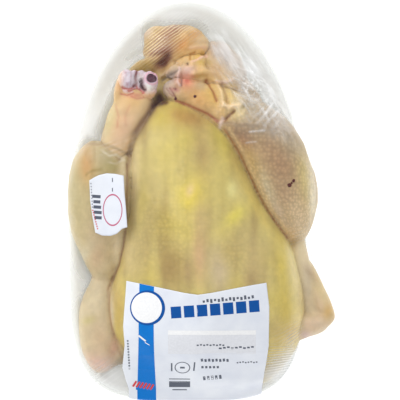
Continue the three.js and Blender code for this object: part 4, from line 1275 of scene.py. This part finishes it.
def paper(name, top, bottom, left, right, crease, tree=None):
    """A label between four edges, laid on the film. crease adds to its height."""
    across = int(np.ptp([p[0] for p in top]) / PAPER_GRAIN)
    down = int(abs(left[0][1] - left[-1][1]) / PAPER_GRAIN)
    u, v = np.meshgrid(np.linspace(0, 1, across), np.linspace(0, 1, down))
    plan_grid = []
    edges = (edge_at(top, u[0]), edge_at(bottom, u[0]), edge_at(left, v[:, 0]), edge_at(right, v[:, 0]))
    for north, south, west, east in zip(*edges):
        sides = west[:, None] * (1 - u) + east[:, None] * u
        ends = north * (1 - v) + south * v
        corners = (1 - u) * (1 - v) * north[0] + u * (1 - v) * north[-1]
        corners += (1 - u) * v * south[0] + u * v * south[-1]
        plan_grid.append(sides + ends - corners)
    x, y = plan_grid
    z = resting(x + offset[0], y + offset[1], film_tree)
    for _ in range(PAPER_SPANS):
        inner = (z[:-2, 1:-1] + z[2:, 1:-1] + z[1:-1, :-2] + z[1:-1, 2:]) / 4
        z[1:-1, 1:-1] = np.maximum(z[1:-1, 1:-1], inner)
    z += PAPER_LIES + crease(x, y)
    grid = [x + offset[0], y + offset[1], z]
    label = laid_sheet(name, grid, tree=tree, above=PAPER_LIES + RIM_SLACK)
    apply(label, "SOLIDIFY", thickness=PAPER * MM, offset=1)
    return label


def main_crease(x, y):
    """The main label's creases: one down it from the top, one across it, and a faint waviness."""
    down = 0.45 * np.exp(-np.abs(x + 1.7) / 1.6) * np.clip((y + 75) / 20, 0, 1)
    across = 0.5 * np.exp(-np.abs(y + 83.9 - 0.03 * x) / 1.4)
    return down + across + 0.1 * np.sin(x * 0.5) * np.sin(y * 0.33) + 0.15


main_label = paper(
    "label_main_paper",
    [
        (-40.7, -43.9), (-30, -45.9), (-18.2, -48.3), (-9, -50.2), (-1.7, -51.2), (6, -50.1), (16, -48.2),
        (26, -46.4), (35.6, -44.8),
    ],
    [(-39.8, -104), (-26, -104.5), (-10, -104.5), (8, -104.5), (22, -104.5), (33.6, -104)],
    [(-40.7, -43.9), (-41.6, -56), (-42.6, -69), (-41.9, -79.5), (-43.3, -92), (-41.5, -99), (-39.8, -104)],
    [(35.6, -44.8), (37.2, -58), (37, -79.5), (35.9, -88), (34.6, -96), (33.6, -104)],
    main_crease,
    film_tree,
)
small_label = paper(
    "label_small_paper",
    [(-61.1, 11), (-58.5, 12.6), (-55.5, 14), (-51.5, 14.9), (-47, 14.6), (-42.2, 13.6)],
    [(-57.8, -17.6), (-54, -19.2), (-49.5, -19.4), (-46, -18.2), (-43, -15.4), (-40.2, -14.6)],
    [(-61.1, 11), (-60.6, 0), (-59.4, -9), (-57.8, -17.6)],
    [(-42.2, 13.6), (-41.7, 4), (-40.8, -6), (-40.2, -14.6)],
    lambda x, y: 0.12 + 0.1 * np.sin(x * 0.7 + y * 0.2),
)

coated, nodes, links, shader = new_material("coated_paper")
fibres = pattern("Noise", {"Scale": 90, "Detail": 6}).outputs["Fac"]
coating = shades(fibres, linear(222, 227, 238), linear(234, 238, 245), 0.3, 0.7)
links.new(coating, shader.inputs["Base Color"])
dial(shader, {"Roughness": 0.45})
emboss(fibres, 0.2, 0.0005)
for label, node in ((main_label, "label_main"), (small_label, "label_small")):
    label.data.materials.append(coated)
    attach(label, "root")
    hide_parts(node)

# ---- Print ----
# The print is ink on the paper: a blue band, a ringed disc, a panel, plain bars and dashes, and the white ink
# also paints two glare lines on the band. Each ink is one piece of thin flat shapes that follow the paper, a
# hair above it. Overlapping inks have a layer each.

INK = 0.03  # from one layer to the next
BAR_GRAIN = 0.8
BAND_DOWN, BAND_ACROSS = 140, 14
OVAL_AROUND = 64
BLUE, NAVY, GREY, RED, PINK, WHITE, PALE = "blue", "navy", "grey", "red", "pink", "white", "pale"
paper_tree = tree_of([main_label, small_label])
printed = {}


def ink(tone, x, y, layer, closed=False, tree=None):
    """A grid of plan points as a shape of this ink, which goes on over the rim if it is given a surface."""
    x, y = x + offset[0], y + offset[1]
    grid = [x, y, resting(x, y, paper_tree, INK * layer)]
    printed.setdefault(tone, []).append(laid_sheet("ink", grid, closed, tree, PAPER + INK * layer))


def bar(tone, x, y, width, height, turn=0.0, layer=1):
    """A filled bar centred at x, y."""
    c, s = math.cos(math.radians(turn)), math.sin(math.radians(turn))
    u = np.linspace(-width / 2, width / 2, max(2, int(width / BAR_GRAIN) + 1))
    v = np.linspace(-height / 2, height / 2, max(2, int(height / BAR_GRAIN) + 1))
    u, v = np.meshgrid(u, v)
    ink(tone, x + u * c - v * s, y + u * s + v * c, layer)


def band(tone, left, right, layer=1):
    """A filled band between two lines of plan points, which goes on over the rim."""
    west, east = (along_curve(line, np.linspace(0, 1, BAND_DOWN))[0].T[:, :, None] for line in (left, right))
    across = np.linspace(0, 1, BAND_ACROSS)
    ink(tone, *(west * (1 - across) + east * across), layer, tree=paper_tree)


def oval(tone, x, y, rx, ry, thick=None, layer=1):
    """An oval ring, or a filled oval if no thickness is given."""
    a = np.linspace(0, 2 * np.pi, OVAL_AROUND, endpoint=False)
    rings = np.linspace(1 - (thick / rx if thick else 0.999), 1, 2 if thick else 9)[:, None]
    ink(tone, x + rx * rings * np.cos(a), y + ry * rings * np.sin(a), layer, closed=True)


# The main label: the band, the ringed disc on it, and a row of blocks and one of small ones beside the disc.
band(
    BLUE,
    [(-33.6, -45.3), (-34.0, -62), (-34.3, -80), (-35.2, -104.2)],
    [(-25.6, -46.9), (-25.8, -63), (-25.7, -82), (-24.8, -104.4)],
    layer=2,
)
oval(NAVY, -29.2, -58.6, 9.6, 9.6, layer=3)
oval(WHITE, -29.7, -58.5, 8.4, 8.4, layer=4)
for k in range(7):
    bar(NAVY, -13.6 + k * 7.1, -60.9 + 0.55 * k, 5.6, 6.4, 4)
for k in range(14):
    bar(GREY, 1.5 + k * 2.05, -54.9 + 0.16 * k + 0.4 * (k % 2), 1.2, 1.2 + 0.5 * (k % 3), 6, 2)
# Painted glare: two white lines in the band, a highlight where a crease catches the light.
bar(WHITE, -32.2, -75.4, 5.0, 0.9, -38, layer=4)
bar(WHITE, -29.4, -78.4, 3.0, 0.4, -32, layer=4)
# The panel, with two rows of dashes.
bar(PALE, 6, -77.4, 48, 13)
bar(WHITE, 6, -72.0, 48, 2.4, layer=2)
for k in range(9):
    bar(GREY, -1.8 + k * 1.75, -78.9 + 0.25 * (k % 2), 1.1, 0.8, layer=2)
    bar(GREY, 10.5 + k * 2.2, -80.6 + 0.3 * (k % 3), 1.5, 0.9, -3, layer=2)
# Below the panel: a small ring between two strokes, rows of dashes and a block.
oval(GREY, -10.2, -91.6, 4.3, 3.3, 0.55)
bar(GREY, -10.2, -91.6, 2.6, 1.0)
bar(GREY, -16.1, -91.4, 0.8, 4.6)
bar(GREY, -3.7, -90.9, 0.8, 5.0, -6)
for k in range(8):
    bar(GREY, 0.5 + k * 2.0, -87.2 - 0.2 * (k % 2), 1.2, 1.6, 8)
    bar(GREY, 20 + k * 1.5, -88.8 + 0.2 * (k % 3), 0.9, 0.7)
for k in range(5):
    bar(GREY, 0.8 + k * 2.1, -91.2, 1.2, 1.3, 6)
    bar(GREY, 1.8 + k * 2.2, -97.6 + 0.2 * k, 1.3, 2.2, 8)
bar(GREY, -11.8, -98.2, 11.6, 0.5)
bar(GREY, -11.8, -101.2, 11.6, 3.4)
bar(GREY, -11.8, -104.4, 8.0, 0.6)
# The left edge, and a row of slanted red bars over the band's end.
for k in range(11):
    bar(GREY, -40.2 + 0.08 * k, -77 - k * 1.55, 0.9, 0.9)
for k in range(6):
    bar(RED, -36.6 + k * 1.9, -101.2 - 0.35 * k, 1.1, 3.6, -32, layer=4)
bar(BLUE, -30.4, -104.0, 11.0, 2.0, -5, layer=3)
# The small label, whose rows run down it: an oval, two strokes, a row of blocks and two rows of dots.
oval(PINK, -48.3, -5.2, 5.4, 8.8, 0.5)
bar(GREY, -48.4, 11.2, 0.5, 2.2)
bar(GREY, -48.4, 5.9, 0.5, 2.0)
for k, tall in enumerate((4.6, 3.8, 4.2, 4.4, 4.0)):
    bar(GREY, -57.2 + 0.22 * k, 2.2 - k * 2.9, tall, 1.7, -4)
for k in range(9):
    bar(RED, -59.2 + 0.32 * k, -5.4 - k * 1.25, 0.7, 0.7)
    bar(GREY, -60.2 + 0.1 * k, 9.2 - k * 1.6, 0.5, 0.7)

INKS = {
    BLUE: (6, 120, 208), NAVY: (10, 82, 160), GREY: (92, 98, 112), RED: (214, 74, 78), PINK: (196, 104, 134),
    WHITE: (246, 247, 250), PALE: (228, 230, 236),
}
for tone, shapes in printed.items():
    print_piece = joined(shapes, f"print_{tone}")
    dye, nodes, links, shader = new_material(f"ink_{tone}")
    grain = pattern("Noise", {"Scale": 900}).outputs["Fac"]
    base = np.array(linear(*INKS[tone]))
    links.new(shades(grain, base * 0.9, np.minimum(1, base * 1.08)), shader.inputs["Base Color"])
    dial(shader, {"Roughness": 0.4, "Specular IOR Level": 0.15})
    print_piece.data.materials.append(dye)
    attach(print_piece, "root")

# ---- Setting ----
# A plain white floor under soft studio light, seen from straight above.

VIEW_WIDTH = 220.0  # across the view at the height of the bird's middle
VIEW_MIDDLE = (*(offset + [-0.55, 0.275]), 40.0)
CAMERA_AWAY = 2400.0
SENSOR = 36.0
LIT_HEIGHT = 0.03  # metres: the lamps point at the pack's middle, this high

bpy.ops.mesh.primitive_plane_add(size=6, location=(0, 0, 0))
floor = bpy.context.object
floor.name = "floor"
ground, nodes, links, shader = new_material("pale_floor")
dial(shader, {
    "Base Color": (0.93, 0.93, 0.93, 1),
    "Roughness": 0.9,
    "Emission Color": (1, 1, 1, 1),
    "Emission Strength": 0.45,
})
floor.data.materials.append(ground)

world = bpy.context.scene.world or bpy.data.worlds.new("studio")
bpy.context.scene.world = world
world.use_nodes = True
dial(world.node_tree.nodes["Background"], {"Color": (1, 1, 1, 1), "Strength": 0.78})


def softbox(name, at, size, power):
    """A square lamp, in metres and watts, that points at the pack."""
    light = bpy.data.lights.new(name, "AREA")
    light.shape = "SQUARE"
    light.size = size
    light.energy = power
    lamp = bpy.data.objects.new(name, light)
    bpy.context.collection.objects.link(lamp)
    lamp.location = at
    lamp.rotation_euler = (Vector((0, 0, LIT_HEIGHT)) - Vector(at)).to_track_quat("-Z", "Y").to_euler()


softbox("key_light", (-1.1, 0.9, 1.0), 1.5, 14.0)
softbox("side_light", (0.9, 0.5, 0.8), 0.5, 1.5)

camera = bpy.data.cameras.new("camera")
camera.lens = SENSOR * CAMERA_AWAY / VIEW_WIDTH
camera.sensor_width = SENSOR
camera.clip_end = 10
viewer = bpy.data.objects.new("camera", camera)
bpy.context.collection.objects.link(viewer)
viewer.location = Vector(VIEW_MIDDLE) * MM + Vector((0, 0, CAMERA_AWAY * MM))
bpy.context.scene.camera = viewer
bpy.context.scene.view_settings.view_transform = "Standard"
bpy.context.scene.view_settings.look = "None"
